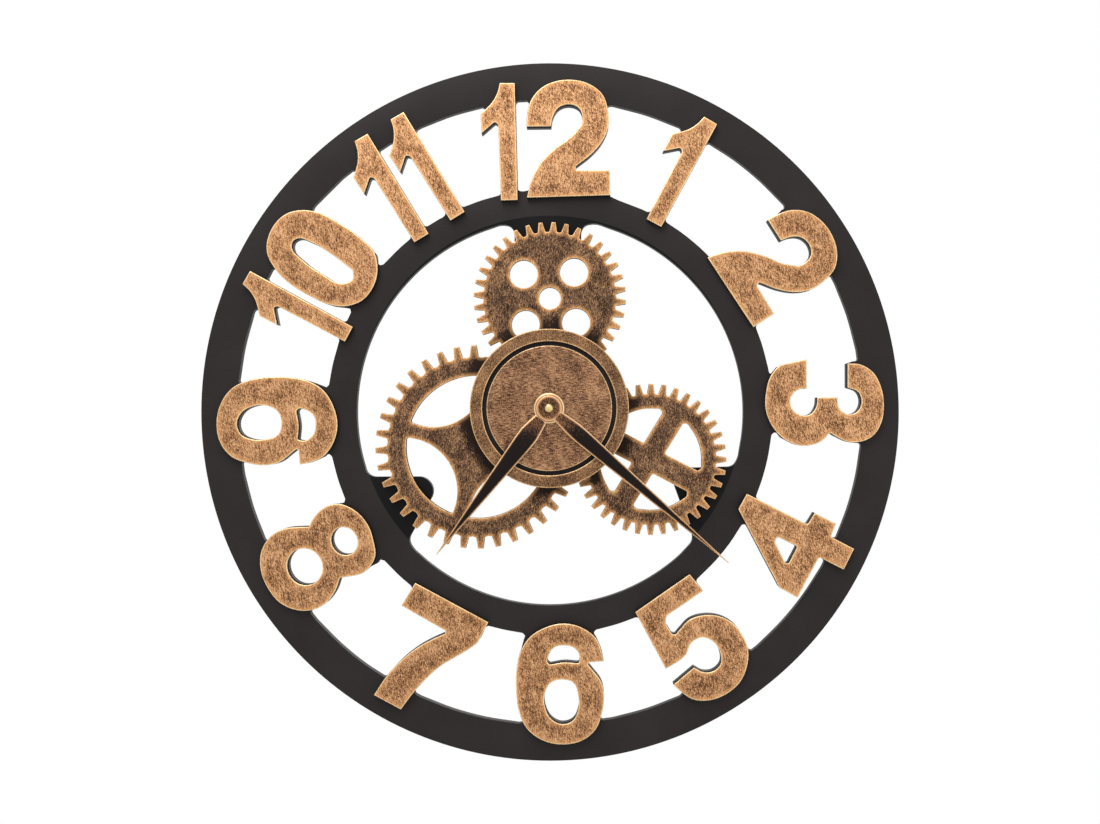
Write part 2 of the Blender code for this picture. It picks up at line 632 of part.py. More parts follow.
def screw(name, at, head_back, head_r, head_high, shank_r, front):
    """A countersunk screw driven from behind: its head at the back, its shank to the front."""
    head = rod(name, head_r, head_high, at, head_back, SCREW_SIDES, True, shank_r)
    shank = rod(name + "_shank", shank_r, front - head_back - head_high / 2, at, head_back + head_high / 2,
                SCREW_SIDES, False)
    return paint(join(head, shank), STEEL)


def screw_hole(name, at, back, head_r, head_high, shank_r, front):
    """The hole for such a screw: a clearance bore and a seat for the head."""
    bore = rod(name + "_bore", shank_r + SCREW_CLEARANCE, front - back + PAST, at, back - PAST,
               SCREW_SIDES, False)
    seat = rod(name + "_seat", head_r + SCREW_CLEARANCE, head_high + SEAT_GAP + PAST, at, back - PAST,
               SCREW_SIDES, False)
    return bore, seat


def tongue(tip, radius, feet_clocks, side):
    """A tab outline: from the first foot round the tip to the second foot, with tangent sides."""
    centre = Vector(tip)
    feet = [clock(INNER_RING_MIDDLE_R, turn) for turn in feet_clocks]
    arms = [Vector(foot) - centre for foot in feet]
    lean = [math.acos(radius / arm.length) for arm in arms]
    first = math.atan2(arms[0].y, arms[0].x) + side * lean[0]
    last = math.atan2(arms[1].y, arms[1].x) - side * lean[1]
    while (last - first) * side < 0:
        last += side * math.tau
    loop = [feet[0]]
    for k in range(TAB_STEPS + 1):
        turn = first + (last - first) * k / TAB_STEPS
        loop.append((tip[0] + radius * math.cos(turn), tip[1] + radius * math.sin(turn)))
    return loop + [feet[1]]


def make_frame():
    """The black frame plate: two rings, the backings of the numerals, the tabs and their fillets."""
    frame = plate("dial_frame", [circle(OUTER_RING_R, RING_SIDES), circle(OUTER_RING_BORE_R, RING_SIDES)],
                  FRAME_THICK)
    shapes = [[circle(INNER_RING_R, RING_SIDES), circle(INNER_RING_BORE_R, RING_SIDES)]]
    webs = []
    for row in NUMERALS:
        loops = numeral_outlines(row, NUMERAL_STEPS)
        shapes.append(loops)
        webs += ring_fillets(loops[0], OUTER_RING_BORE_R, False, SMALL_FILLET)
        webs += ring_fillets(loops[0], INNER_RING_R, True, SMALL_FILLET)
    left, right = TOP_TAB_SHIFT - TOP_TAB_HALF, TOP_TAB_SHIFT + TOP_TAB_HALF
    foot = INNER_RING_MIDDLE_R
    tabs = [[(left, foot), (left, TOP_TAB_END), (right, TOP_TAB_END), (right, foot)],
            tongue(LEFT_TAB_TIP, LEFT_TAB_TIP_R, LEFT_TAB_FEET_CLOCKS, -1),
            tongue(RIGHT_TAB_TIP, RIGHT_TAB_TIP_R, RIGHT_TAB_FEET_CLOCKS, 1)]
    for tab in tabs:
        shapes.append([tab])
        webs += ring_fillets(tab, INNER_RING_BORE_R, False, TAB_FILLET)
    for number, loops in enumerate(shapes + [[web] for web in webs]):
        join(frame, plate("frame_shape_%d" % number, loops, FRAME_THICK, shown=False))
    return paint(frame, BLACK_PAINT)


def make_numerals():
    for row in NUMERALS:
        paint(plate(row[0], numeral_outlines(row, NUMERAL_STEPS), NUMERAL_THICK, back=NUMERAL_BACK), BRONZE)


def toothed(teeth, tip_r, depth, tip_wide, root_wide, phase, at, rooms):
    """A gear outline with tapered teeth and rounded roots, teeth at the clock angle phase. Rooms, each a
    centre and a radius, will be cut from the gear at its place: a tooth that one reaches is left out."""
    root_r = tip_r - depth
    tip_half = math.degrees(tip_wide / 2 / tip_r)
    root_half = math.degrees(root_wide / 2 / root_r)
    foot_r = root_r + TOOTH_FOOT
    loop = []
    for k in range(teeth):
        turn = phase - 360 / teeth * k
        first, last = clock(foot_r, turn + root_half), clock(foot_r, turn - root_half)
        tooth = [first, clock(tip_r, turn + tip_half), clock(tip_r, turn - tip_half), last]
        reached = any(math.dist((at[0] + x, at[1] + y), centre) < radius
                      for centre, radius in rooms for x, y in tooth)
        loop += [first, last] if reached else tooth
        loop.append(clock(root_r, turn - 180 / teeth))
    return loop


def arc(centre, radius, first, last, steps):
    """Points on an arc between two clock angles."""
    return [(centre[0] + x, centre[1] + y)
            for x, y in (clock(radius, first + (last - first) * k / steps) for k in range(steps + 1))]


def lens_openings(rim_r, arc_r, away, axis, corner, steps):
    """Four lens holes between the rim and hollow spokes, with blunt corners."""
    along = (away ** 2 + rim_r ** 2 - arc_r ** 2) / (2 * away)
    across = math.sqrt(rim_r ** 2 - along ** 2)
    outer_half = math.degrees(math.atan2(across, along) - corner / rim_r)
    inner_half = math.degrees(math.atan2(across, away - along) - corner / arc_r)
    loops = []
    for k in range(4):
        turn = axis + 90 * k
        centre = clock(away, turn)
        outer = arc((0.0, 0.0), rim_r, turn - outer_half, turn + outer_half, steps)
        inner = arc(centre, arc_r, turn + 180 - inner_half, turn + 180 + inner_half, steps)
        loops.append(outer + inner)
    return loops


def cross_openings(rim_r, cross_at, width, clocks, corner, steps):
    """Four holes between the rim and a cross of two straight bars."""
    turns = (clocks[0], clocks[1], clocks[0] + 180, clocks[1] + 180, clocks[0] + 360)
    centre = Vector(cross_at)
    loops = []
    for before, after in zip(turns, turns[1:]):
        first, second = Vector(clock(1.0, before)), Vector(clock(1.0, after))
        inner = centre + (first + second) * (width / 2 / math.sin(math.radians(after - before)))
        ends = []
        for way in (first, second):
            reach = -inner.dot(way) + math.sqrt(inner.dot(way) ** 2 - inner.length_squared + rim_r ** 2)
            ends.append(inner + way * reach)
        turn_ends = [math.degrees(math.atan2(end.x, end.y)) for end in ends]
        if turn_ends[1] < turn_ends[0]:
            turn_ends[1] += 360
        slack = math.degrees(corner / rim_r)
        loop = [tuple(inner), tuple(ends[0] - first * corner)]
        loop += arc((0.0, 0.0), rim_r, turn_ends[0] + slack, turn_ends[1] - slack, steps)
        loop.append(tuple(ends[1] - second * corner))
        loops.append(loop)
    return loops


def make_gears():
    """The three fixed gears, cut away where a neighbour or the movement lies."""
    well = (HUB, WELL_R)
    top_room = (TOP_GEAR_AT, TOP_GEAR_TIP_R + GEAR_CLEARANCE)
    left_room = (LEFT_GEAR_AT, LEFT_GEAR_TIP_R + GEAR_CLEARANCE)
    top_teeth = toothed(GEAR_TEETH, TOP_GEAR_TIP_R, TOP_GEAR_DEPTH, TOP_GEAR_TIP, TOP_GEAR_ROOT, TOP_GEAR_PHASE,
                        TOP_GEAR_AT, [well])
    top_holes = [circle(TOP_GEAR_HOLE_R, HAND_SIDES,
                        clock(TOP_GEAR_HOLE_CIRCLE_R, TOP_GEAR_HOLE_CLOCK + 90 * k)) for k in range(4)]
    left_teeth = toothed(GEAR_TEETH, LEFT_GEAR_TIP_R, LEFT_GEAR_DEPTH, LEFT_GEAR_TIP, LEFT_GEAR_ROOT,
                         LEFT_GEAR_PHASE, LEFT_GEAR_AT, [well, top_room])
    left_holes = lens_openings(LEFT_GEAR_RIM_R, LENS_ARC_R, LENS_ARC_AWAY, LENS_CLOCK, LENS_CORNER, OPENING_STEPS)
    right_teeth = toothed(GEAR_TEETH, RIGHT_GEAR_TIP_R, RIGHT_GEAR_DEPTH, RIGHT_GEAR_TIP, RIGHT_GEAR_ROOT,
                          RIGHT_GEAR_PHASE, RIGHT_GEAR_AT, [well, left_room])
    right_holes = cross_openings(RIGHT_GEAR_RIM_R, CROSS_AT, CROSS_WIDTH, CROSS_CLOCKS, CROSS_FILLET,
                                 OPENING_STEPS)
    top = plate("gear_top", [top_teeth, circle(TOP_GEAR_BORE_R, HAND_SIDES)] + top_holes, GEAR_THICK,
                TOP_GEAR_AT, GEAR_BACK)
    left = plate("gear_left", [left_teeth] + left_holes, GEAR_THICK, LEFT_GEAR_AT, GEAR_BACK)
    right = plate("gear_right", [right_teeth] + right_holes, GEAR_THICK, RIGHT_GEAR_AT, GEAR_BACK)
    for gear, rooms in ((top, [well]), (left, [well, top_room]), (right, [well, left_room])):
        for number, (centre, radius) in enumerate(rooms):
            cut(gear, rod("%s_room_%d" % (gear.name, number), radius, GEAR_THICK + 2 * PAST, centre,
                          GEAR_BACK - PAST, HUB_SIDES, False))
        paint(gear, BRONZE)
    return top, left, right


def fasten_gears(frame, gears):
    """Two screws through each tab into its gear's rim, driven from behind."""
    rims = ((TOP_GEAR_AT, 0.0, (TOP_GEAR_TIP_R - TOP_GEAR_DEPTH + TOP_GEAR_HOLE_CIRCLE_R + TOP_GEAR_HOLE_R) / 2,
             TOP_SCREW_SPREAD),
            (LEFT_GEAR_AT, LEFT_SCREW_CLOCK, (LEFT_GEAR_TIP_R - LEFT_GEAR_DEPTH + LEFT_GEAR_RIM_R) / 2,
             TAB_SCREW_SPREAD),
            (RIGHT_GEAR_AT, RIGHT_SCREW_CLOCK, (RIGHT_GEAR_TIP_R - RIGHT_GEAR_DEPTH + RIGHT_GEAR_RIM_R) / 2,
             TAB_SCREW_SPREAD))
    front = GEAR_BACK + SCREW_BITE
    for gear, (centre, turn, radius, spread) in zip(gears, rims):
        for side, word in ((-1, "first"), (1, "second")):
            lean = math.degrees(spread / radius) * side
            x, y = clock(radius, turn + lean)
            at = (centre[0] + x, centre[1] + y)
            name = "%s_screw_%s" % (gear.name, word)
            holes = screw_hole(name, at, 0.0, TAB_SCREW_HEAD_R, TAB_SCREW_HEAD, TAB_SCREW_R, front + SEAT_GAP)
            cut(frame, *holes)
            cut(gear, holes[0])
            screw(name, at, SEAT_GAP, TAB_SCREW_HEAD_R, TAB_SCREW_HEAD, TAB_SCREW_R, front)


def make_hub(gears):
    """The backplate on its riveted pillars, with the ring and the brushed disc in front of it."""
    bush_bore = BUSH_R + SEAT_GAP
    backplate = plate("hub_backplate", [circle(BACKPLATE_R, HUB_SIDES), circle(bush_bore, SMALL_SIDES)],
                      BACKPLATE_THICK, HUB, BACKPLATE_BACK)
    ring = plate("hub_ring", [circle(HUB_RING_R, HUB_SIDES), circle(HUB_RING_BORE_R, HUB_SIDES)],
                 HUB_DISC_THICK, HUB, DISC_BACK)
    disc = plate("hub_disc", [circle(HUB_DISC_R, HUB_SIDES), circle(bush_bore, SMALL_SIDES)],
                 HUB_DISC_THICK, HUB, DISC_BACK)
    paint(backplate, BLACK_PAINT)
    paint(ring, BRONZE)
    paint(disc, DARK_BRONZE)
    shoulder_back = GEAR_FRONT + SEAT_GAP
    shoulder_front = BACKPLATE_BACK - SEAT_GAP
    spigot_front = BACKPLATE_BACK + PILLAR_BITE
    for number, (gear, (x, y)) in enumerate(zip(gears, PILLAR_AT), 1):
        at = (HUB[0] + x, HUB[1] + y)
        name = "hub_pillar_%d" % number
        profile = [(SPIGOT_R, spigot_front - SEAT_GAP), (SPIGOT_R, shoulder_front), (PILLAR_R, shoulder_front),
                   (PILLAR_R, shoulder_back), (SPIGOT_R, shoulder_back), (SPIGOT_R, GEAR_BACK)]
        paint(turned(name, profile, at, SCREW_SIDES), STEEL)
        cut(gear, rod(name + "_hole", SPIGOT_R + SEAT_GAP, GEAR_THICK + 2 * PAST, at, GEAR_BACK - PAST,
                      SCREW_SIDES, False))
        cut(backplate, rod(name + "_seat", SPIGOT_R + SEAT_GAP, PILLAR_BITE + PAST, at, BACKPLATE_BACK - PAST,
                           SCREW_SIDES, False))


def hand_outline(length, hub_r, neck, shoulder, shoulder_at):
    """A hand that points to twelve: round hub, narrow neck, shoulder and a straight taper."""
    lean = math.degrees(math.asin(neck / 2 / hub_r))
    loop = arc((0.0, 0.0), hub_r, lean, 360 - lean, HAND_SIDES)
    return loop + [(-shoulder / 2, shoulder_at), (-HAND_TIP / 2, length), (HAND_TIP / 2, length),
                   (shoulder / 2, shoulder_at)]


def make_hands():
    hour = plate("hour_hand", [hand_outline(HOUR_HAND_LENGTH, HOUR_HUB_R, HOUR_NECK, HOUR_SHOULDER,
                                            HOUR_SHOULDER_AT),
                               circle(HOUR_TUBE_R + SEAT_GAP, SMALL_SIDES)],
                 HAND_THICK, HUB, HOUR_HAND_BACK, HOUR_CLOCK)
    minute = plate("minute_hand", [hand_outline(MINUTE_HAND_LENGTH, MINUTE_HUB_R, MINUTE_NECK, MINUTE_SHOULDER,
                                                MINUTE_SHOULDER_AT),
                                   circle(ARBOR_R + SEAT_GAP, SMALL_SIDES)],
                   HAND_THICK, HUB, MINUTE_HAND_BACK, MINUTE_CLOCK)
    for hand in (hour, minute):
        paint(hand, BRASS)


def make_centre_stack():
    """Washer, fixing nut and cap nut."""
    bore = BUSH_R + SEAT_GAP
    washer = plate("fixing_washer", [circle(WASHER_R, HAND_SIDES), circle(bore, SMALL_SIDES)], WASHER_THICK,
                   HUB, WASHER_BACK)
    corner = NUT_ACROSS_FLATS / 2 / math.cos(math.radians(30))
    nut = plate("fixing_nut", [circle(corner, 6), circle(bore, SMALL_SIDES)], NUT_THICK, HUB, NUT_BACK)
    paint(washer, STEEL)
    paint(nut, BRASS)
    bore = ARBOR_TIP_R + SEAT_GAP
    profile = [(CAP_NUT_R * out, CAP_NUT_HIGH * high) for out, high in CAP_DOME]
    profile += [(CAP_NUT_R, 0.0), (bore, 0.0), (bore, CAP_NUT_HIGH - CAP_WALL), (0.0, CAP_NUT_HIGH - CAP_WALL)]
    paint(turned("cap_nut", profile, HUB, HAND_SIDES, CAP_BACK), BRASS)


def wheel(name, teeth, module, thick, at, back, phase, pinion=None, arbor=None, bore=0.0, look=None):
    """A train wheel with pointed teeth. pinion is (teeth, module, back, front, phase), arbor is
    (back, front), and bore is the radius of its own hole."""
    pitch_r = teeth * module / 2
    loops = [pointed(teeth, pitch_r, module, phase)]
    if bore:
        loops.append(circle(bore, TRAIN_SIDES))
    made = plate(name, loops, thick, at, back)
    if pinion:
        small, small_module, low, high, small_phase = pinion
        small_loops = [pointed(small, small * small_module / 2, small_module, small_phase)]
        if bore:
            small_loops.append(circle(bore, TRAIN_SIDES))
        join(made, plate(name + "_pinion", small_loops, high - low, at, low, shown=False))
    if arbor:
        join(made, rod(name + "_arbor", PIVOT_R, arbor[1] - arbor[0], at, arbor[0], TRAIN_SIDES, False))
    return paint(made, look or WHEEL_PLASTIC)


def pointed(teeth, pitch_r, module, phase):
    """A fine gear outline: a pointed tooth and the bottom of its gap, turn by turn."""
    loop = []
    for k in range(teeth):
        at = phase - 360 / teeth * k
        loop += [clock(pitch_r + TOOTH_ADDENDUM * module, at),
                 clock(pitch_r - TOOTH_DEDENDUM * module, at - 180 / teeth)]
    return loop


def from_hub(radius, degrees):
    """A point of the train at a radius and clock angle from the hands' axis."""
    x, y = clock(radius, degrees)
    return (HUB[0] + x, HUB[1] + y)


def mesh_phase(driver_phase, driver_teeth, teeth, direction):
    """The phase that puts a wheel's gap where the driver's nearest tooth points.

    direction is the clock angle from the driver's centre to the wheel's.
    """
    offset = (direction - driver_phase) % (360 / driver_teeth)
    return direction + 180 + offset * driver_teeth / teeth + 180 / teeth


def make_train():
    """The going train, the motion work and the setting knob."""
    front_wall = CASE_FRONT - CASE_WALL
    cover_front = CASE_BACK + CASE_WALL
    low_pivot = cover_front - PIVOT_DEEP + SEAT_GAP
    high_pivot = front_wall + PIVOT_DEEP - SEAT_GAP
    reduction_at = from_hub(REDUCTION_AWAY, REDUCTION_CLOCK)
    rotor_at = from_hub(REDUCTION_AWAY + ROTOR_AWAY, REDUCTION_CLOCK)
    third_at = from_hub(THIRD_AWAY, THIRD_CLOCK)
    minute_at = from_hub(MOTION_AWAY, MOTION_CLOCK)
    setting_at = from_hub(MOTION_AWAY + SETTING_AWAY, MOTION_CLOCK)
    rotor_module = 2 * ROTOR_AWAY / (LEAF + REDUCTION_TEETH)
    seconds_module = 2 * REDUCTION_AWAY / (LEAF + SECONDS_TEETH)
    third_module = 2 * THIRD_AWAY / (LEAF + THIRD_TEETH)
    centre_module = 2 * THIRD_AWAY / (LEAF + CENTRE_TEETH)
    motion_module = 2 * MOTION_AWAY / (CANNON_TEETH + MINUTE_TEETH)
    hour_module = 2 * MOTION_AWAY / (MINUTE_LEAF + HOUR_TEETH)
    setting_module = 2 * SETTING_AWAY / (MINUTE_TEETH + SETTING_TEETH)

    rotor = rod("rotor", MAGNET_R, MAGNET_THICK, rotor_at, MAGNET_BACK, SMALL_SIDES)
    rotor_phase = 0.0
    leaf = pointed(LEAF, LEAF * rotor_module / 2, rotor_module, rotor_phase)
    join(rotor, plate("rotor_pinion", [leaf], PINION_LONG, rotor_at, REDUCTION_BACK - PINION_LEAD, shown=False),
         rod("rotor_arbor", PIVOT_R, high_pivot - low_pivot, rotor_at, low_pivot, TRAIN_SIDES, False))
    paint(rotor, STEEL)
    inward = REDUCTION_CLOCK + 180
    reduction_phase = mesh_phase(rotor_phase, LEAF, REDUCTION_TEETH, inward)
    wheel("reduction_wheel", REDUCTION_TEETH, rotor_module, WHEEL_THICK, reduction_at, REDUCTION_BACK,
          reduction_phase, (LEAF, seconds_module, SECONDS_BACK - PINION_LEAD,
                            SECONDS_BACK - PINION_LEAD + PINION_LONG, reduction_phase),
          (low_pivot, BRIDGE_BACK + BRIDGE_THICK))
    seconds_phase = mesh_phase(reduction_phase, LEAF, SECONDS_TEETH, inward)
    wheel("seconds_wheel", SECONDS_TEETH, seconds_module, WHEEL_THICK, HUB, SECONDS_BACK, seconds_phase,
          (LEAF, third_module, THIRD_BACK - PINION_LEAD, BRIDGE_BACK - SEAT_GAP, seconds_phase),
          (low_pivot, MINUTE_ARBOR_BACK + ARBOR_HOLLOW - SEAT_GAP))
    third_phase = mesh_phase(seconds_phase, LEAF, THIRD_TEETH, THIRD_CLOCK)
    wheel("third_wheel", THIRD_TEETH, third_module, WHEEL_THICK, third_at, THIRD_BACK, third_phase,
          (LEAF, centre_module, CENTRE_BACK - PINION_LEAD, CENTRE_BACK - PINION_LEAD + PINION_LONG, third_phase),
          (low_pivot, high_pivot))
    centre_phase = mesh_phase(third_phase, LEAF, CENTRE_TEETH, THIRD_CLOCK + 180)
    wheel("centre_wheel", CENTRE_TEETH, centre_module, WHEEL_THICK, HUB, CENTRE_BACK, centre_phase,
          bore=ARBOR_R + RUN_GAP, look=BRASS)

    minute_phase = mesh_phase(0.0, CANNON_TEETH, MINUTE_TEETH, MOTION_CLOCK)
    arbor = turned("minute_arbor",
                   [(0.0, CAP_BACK + CAP_NUT_HIGH - CAP_WALL - SEAT_GAP),
                    (ARBOR_TIP_R, CAP_BACK + CAP_NUT_HIGH - CAP_WALL - SEAT_GAP),
                    (ARBOR_TIP_R, CAP_BACK), (ARBOR_R, CAP_BACK - SEAT_GAP), (ARBOR_R, MINUTE_ARBOR_BACK),
                    (PIVOT_R + RUN_GAP, MINUTE_ARBOR_BACK), (PIVOT_R + RUN_GAP, MINUTE_ARBOR_BACK + ARBOR_HOLLOW),
                    (0.0, MINUTE_ARBOR_BACK + ARBOR_HOLLOW)], HUB, SMALL_SIDES)
    cannon = plate("cannon_pinion", [pointed(CANNON_TEETH, CANNON_TEETH * motion_module / 2, motion_module, 0.0)],
                   PINION_LONG, HUB, MINUTE_BACK - PINION_LEAD, shown=False)
    paint(join(arbor, cannon), BRASS)
    hour_back = front_wall - SEAT_GAP - WHEEL_THICK
    wheel("minute_wheel", MINUTE_TEETH, motion_module, WHEEL_THICK, minute_at, MINUTE_BACK, minute_phase,
          (MINUTE_LEAF, hour_module, MINUTE_BACK, front_wall - SEAT_GAP, minute_phase),
          bore=POST_R + RUN_GAP)
    hour_phase = mesh_phase(minute_phase, MINUTE_LEAF, HOUR_TEETH, MOTION_CLOCK + 180)
    hour = plate("hour_wheel", [pointed(HOUR_TEETH, HOUR_TEETH * hour_module / 2, hour_module, hour_phase),
                                circle(ARBOR_R + RUN_GAP, SMALL_SIDES)], WHEEL_THICK, HUB, hour_back)
    tube = plate("hour_tube", [circle(HOUR_TUBE_R, SMALL_SIDES), circle(ARBOR_R + RUN_GAP, SMALL_SIDES)],
                 HOUR_HAND_BACK + HAND_THICK - hour_back, HUB, hour_back, shown=False)
    paint(join(hour, tube), WHEEL_PLASTIC)
    setting_phase = mesh_phase(minute_phase, MINUTE_TEETH, SETTING_TEETH, MOTION_CLOCK)
    knob = rod("setting_knob", KNOB_R, KNOB_THICK, setting_at, CASE_BACK - RUN_GAP - KNOB_THICK, SMALL_SIDES)
    stem = rod("setting_stem", SETTING_ARBOR_R, high_pivot - CASE_BACK + KNOB_THICK / 2, setting_at,
               CASE_BACK - RUN_GAP - KNOB_THICK / 2, TRAIN_SIDES, False)
    leaf = plate("setting_pinion", [pointed(SETTING_TEETH, SETTING_TEETH * setting_module / 2, setting_module,
                                            setting_phase)], PINION_LONG, setting_at,
                 MINUTE_BACK - PINION_LEAD, shown=False)
    paint(join(knob, stem, leaf), WHEEL_PLASTIC)
    return (reduction_at, rotor_at, third_at, minute_at, setting_at)


def make_case(places):
    """The movement case, open at the back, with its bush, posts and pivot holes; the cover; the bridge."""
    reduction_at, rotor_at, third_at, minute_at, setting_at = places
    half = CASE_SIDE / 2
    x, y = HUB
    inner = half - CASE_WALL
    front_wall = CASE_FRONT - CASE_WALL
    bay_top = y - inner + BAY_HIGH
    train_floor = bay_top + CASE_WALL
    case = block("movement_case", (x - half, y - half, CASE_BACK), (x + half, y + half, CASE_FRONT))
    bay = block("battery_bay", (x - inner, y - inner, CASE_BACK - PAST), (x + inner, bay_top, front_wall), False)
    room = block("train_room", (x - inner, train_floor, CASE_BACK - PAST), (x + inner, y + inner, front_wall),
                 False)
    bush = rod("fixing_bush", BUSH_R, BUSH_FRONT - CASE_FRONT + OVERLAP, HUB, CASE_FRONT - OVERLAP, SMALL_SIDES,
               False)
    bush_bore = rod("bush_bore", HOUR_TUBE_R + RUN_GAP, BUSH_FRONT - front_wall + 2 * PAST, HUB,
                    front_wall - PAST, SMALL_SIDES, False)
    cut(case, bay, room)
    join(case, bush)
    posts = [("minute_wheel_post", POST_R, minute_at, MINUTE_BACK)]
    for number, at in enumerate(BOARD_POSTS, 1):
        posts.append(("board_post_%d" % number, BOARD_POST_R, (x + at[0], y + at[1]),
                      BOARD_BACK + BOARD_THICK + SEAT_GAP))
    for number, at in enumerate(STATOR_POSTS, 1):
        posts.append(("stator_post_%d" % number, BOARD_POST_R, (x + at[0], y + at[1]),
                      STATOR_BACK + STATOR_THICK + SEAT_GAP))
    foot = from_hub(BRIDGE_FOOT, REDUCTION_CLOCK)
    posts.append(("bridge_post", BOARD_POST_R, foot, BRIDGE_BACK + BRIDGE_THICK + SEAT_GAP))
    for name, radius, at, back in posts:
        join(case, rod(name, radius, front_wall + OVERLAP - back, at, back, TRAIN_SIDES, False))
    cut(case, bush_bore)
    pivot_hole = PIVOT_R + RUN_GAP
    for name, at, radius in (("rotor_front", rotor_at, pivot_hole), ("third_front", third_at, pivot_hole),
                             ("setting_front", setting_at, SETTING_ARBOR_R + RUN_GAP)):
        cut(case, rod(name, radius, PIVOT_DEEP + PAST, at, front_wall - PAST, TRAIN_SIDES, False))
    paint(case, CASE_PLASTIC)

    fit = SEAT_GAP
    cover = block("movement_back_cover", (x - inner + fit, train_floor + fit, CASE_BACK),
                  (x + inner - fit, y + inner - fit, CASE_BACK + CASE_WALL))
    inside = CASE_BACK + CASE_WALL - PIVOT_DEEP
    for name, at in (("rotor_back", rotor_at), ("reduction_back", reduction_at), ("seconds_back", HUB),
                     ("third_back", third_at)):
        cut(cover, rod(name, pivot_hole, PIVOT_DEEP + PAST, at, inside, TRAIN_SIDES, False))
    cut(cover, rod("setting_back", SETTING_ARBOR_R + RUN_GAP, CASE_WALL + 2 * PAST, setting_at,
                   CASE_BACK - PAST, TRAIN_SIDES, False))
    paint(cover, CASE_PLASTIC)

    bridge_loop = moved([(-BRIDGE_HALF, -BRIDGE_HALF), (BRIDGE_HALF, -BRIDGE_HALF),
                         (BRIDGE_HALF, BRIDGE_FOOT - BRIDGE_FOOT_HALF),
                         (BRIDGE_FOOT_HALF, BRIDGE_FOOT - BRIDGE_FOOT_HALF),
                         (BRIDGE_FOOT_HALF, BRIDGE_FOOT + BRIDGE_HALF),
                         (-BRIDGE_FOOT_HALF, BRIDGE_FOOT + BRIDGE_HALF),
                         (-BRIDGE_FOOT_HALF, BRIDGE_FOOT - BRIDGE_FOOT_HALF),
                         (-BRIDGE_HALF, BRIDGE_FOOT - BRIDGE_FOOT_HALF)], (0.0, 0.0), REDUCTION_CLOCK)
    holes = [circle(pivot_hole, TRAIN_SIDES)]
    for away in (REDUCTION_AWAY, REDUCTION_AWAY + ROTOR_AWAY):
        holes.append(circle(pivot_hole, TRAIN_SIDES, clock(away, REDUCTION_CLOCK)))
    paint(plate("train_bridge", [bridge_loop] + holes, BRIDGE_THICK, HUB, BRIDGE_BACK), WHEEL_PLASTIC)


def make_electrics(rotor_at):
    """Battery with its contacts, circuit board with crystal, coil with core, and stator."""
    x, y = HUB
    inner = CASE_SIDE / 2 - CASE_WALL
    front_wall = CASE_FRONT - CASE_WALL
    bay_middle = y - inner + BAY_HIGH / 2
    battery_start = x - BATTERY_LONG / 2 - BATTERY_NUB / 2
    height = (CASE_BACK + front_wall) / 2 + BATTERY_SHIFT
    battery = lying_rod("battery", BATTERY_R, BATTERY_LONG, (battery_start, bay_middle, height), SMALL_SIDES)
    nub = lying_rod("battery_nub", BATTERY_NUB_R, BATTERY_NUB + OVERLAP,
                    (battery_start + BATTERY_LONG - OVERLAP, bay_middle, height), SMALL_SIDES, shown=False)
    paint(join(battery, nub), BATTERY_SLEEVE)
    for name, near, far, side in (
            ("battery_contact_plus", battery_start + BATTERY_LONG + BATTERY_NUB + SEAT_GAP, x + inner - SEAT_GAP, 1),
            ("battery_contact_minus", battery_start - SEAT_GAP, x - inner + SEAT_GAP, -1)):
        strip = block(name, (min(far, far - side * CONTACT_THICK), bay_middle - CONTACT_HALF, height - CONTACT_HALF),
                      (max(far, far - side * CONTACT_THICK), bay_middle + CONTACT_HALF, height + CONTACT_HALF))
        dome = lying_rod(name + "_dome", CONTACT_HALF / 2, abs(far - near) - CONTACT_THICK / 2,
                         (min(near, far - side * CONTACT_THICK / 2), bay_middle, height), TRAIN_SIDES, shown=False)
        paint(join(strip, dome), STEEL)
    (left, low), (right, high) = BOARD_CORNERS
    board = block("circuit_board", (x + left, y + low, BOARD_BACK), (x + right, y + high, BOARD_BACK + BOARD_THICK))
    paint(board, BOARD_GREEN)
    crystal = lying_rod("quartz_crystal", CRYSTAL_R, CRYSTAL_LONG,
                        (x + CRYSTAL_AT[0], y + CRYSTAL_AT[1], BOARD_BACK + BOARD_THICK + SEAT_GAP + CRYSTAL_R),
                        SMALL_SIDES)
    paint(crystal, STEEL)
    eye = MAGNET_R + RUN_GAP
    stator = rod("stator", eye + STATOR_EYE_WALL, STATOR_THICK, rotor_at, STATOR_BACK, SMALL_SIDES)
    arms = []
    for px, py in STATOR_POSTS:
        post = (x + px, y + py)
        for word, start in (("end", (x + COIL_X, y + py)), ("arm", rotor_at)):
            arms.append(plate("stator_%s_%d" % (word, len(arms)), [bar(start, post, STATOR_ARM_HALF)],
                              STATOR_THICK, back=STATOR_BACK, shown=False))
    join(stator, *arms)
    cut(stator, rod("stator_eye", eye, STATOR_THICK + 2 * PAST, rotor_at, STATOR_BACK - PAST, SMALL_SIDES, False))
    paint(stator, STEEL)
    core_back = STATOR_BACK + STATOR_THICK + SEAT_GAP
    core = block("coil_core", (x + COIL_X - CORE_HALF, y + CORE_ENDS[0], core_back),
                 (x + COIL_X + CORE_HALF, y + CORE_ENDS[1], core_back + CORE_THICK))
    paint(core, STEEL)
    core_middle = core_back + CORE_THICK / 2
    coil = lying_rod("coil", COIL_R, COIL_LONG, (x + COIL_X, y + COIL_START, core_middle), SMALL_SIDES, "Y")
    bore = math.hypot(CORE_HALF, CORE_THICK / 2) + SEAT_GAP
    cut(coil, lying_rod("coil_bore", bore, COIL_LONG + 2 * PAST, (x + COIL_X, y + COIL_START - PAST, core_middle),
                        TRAIN_SIDES, "Y", False))
    paint(coil, COPPER)


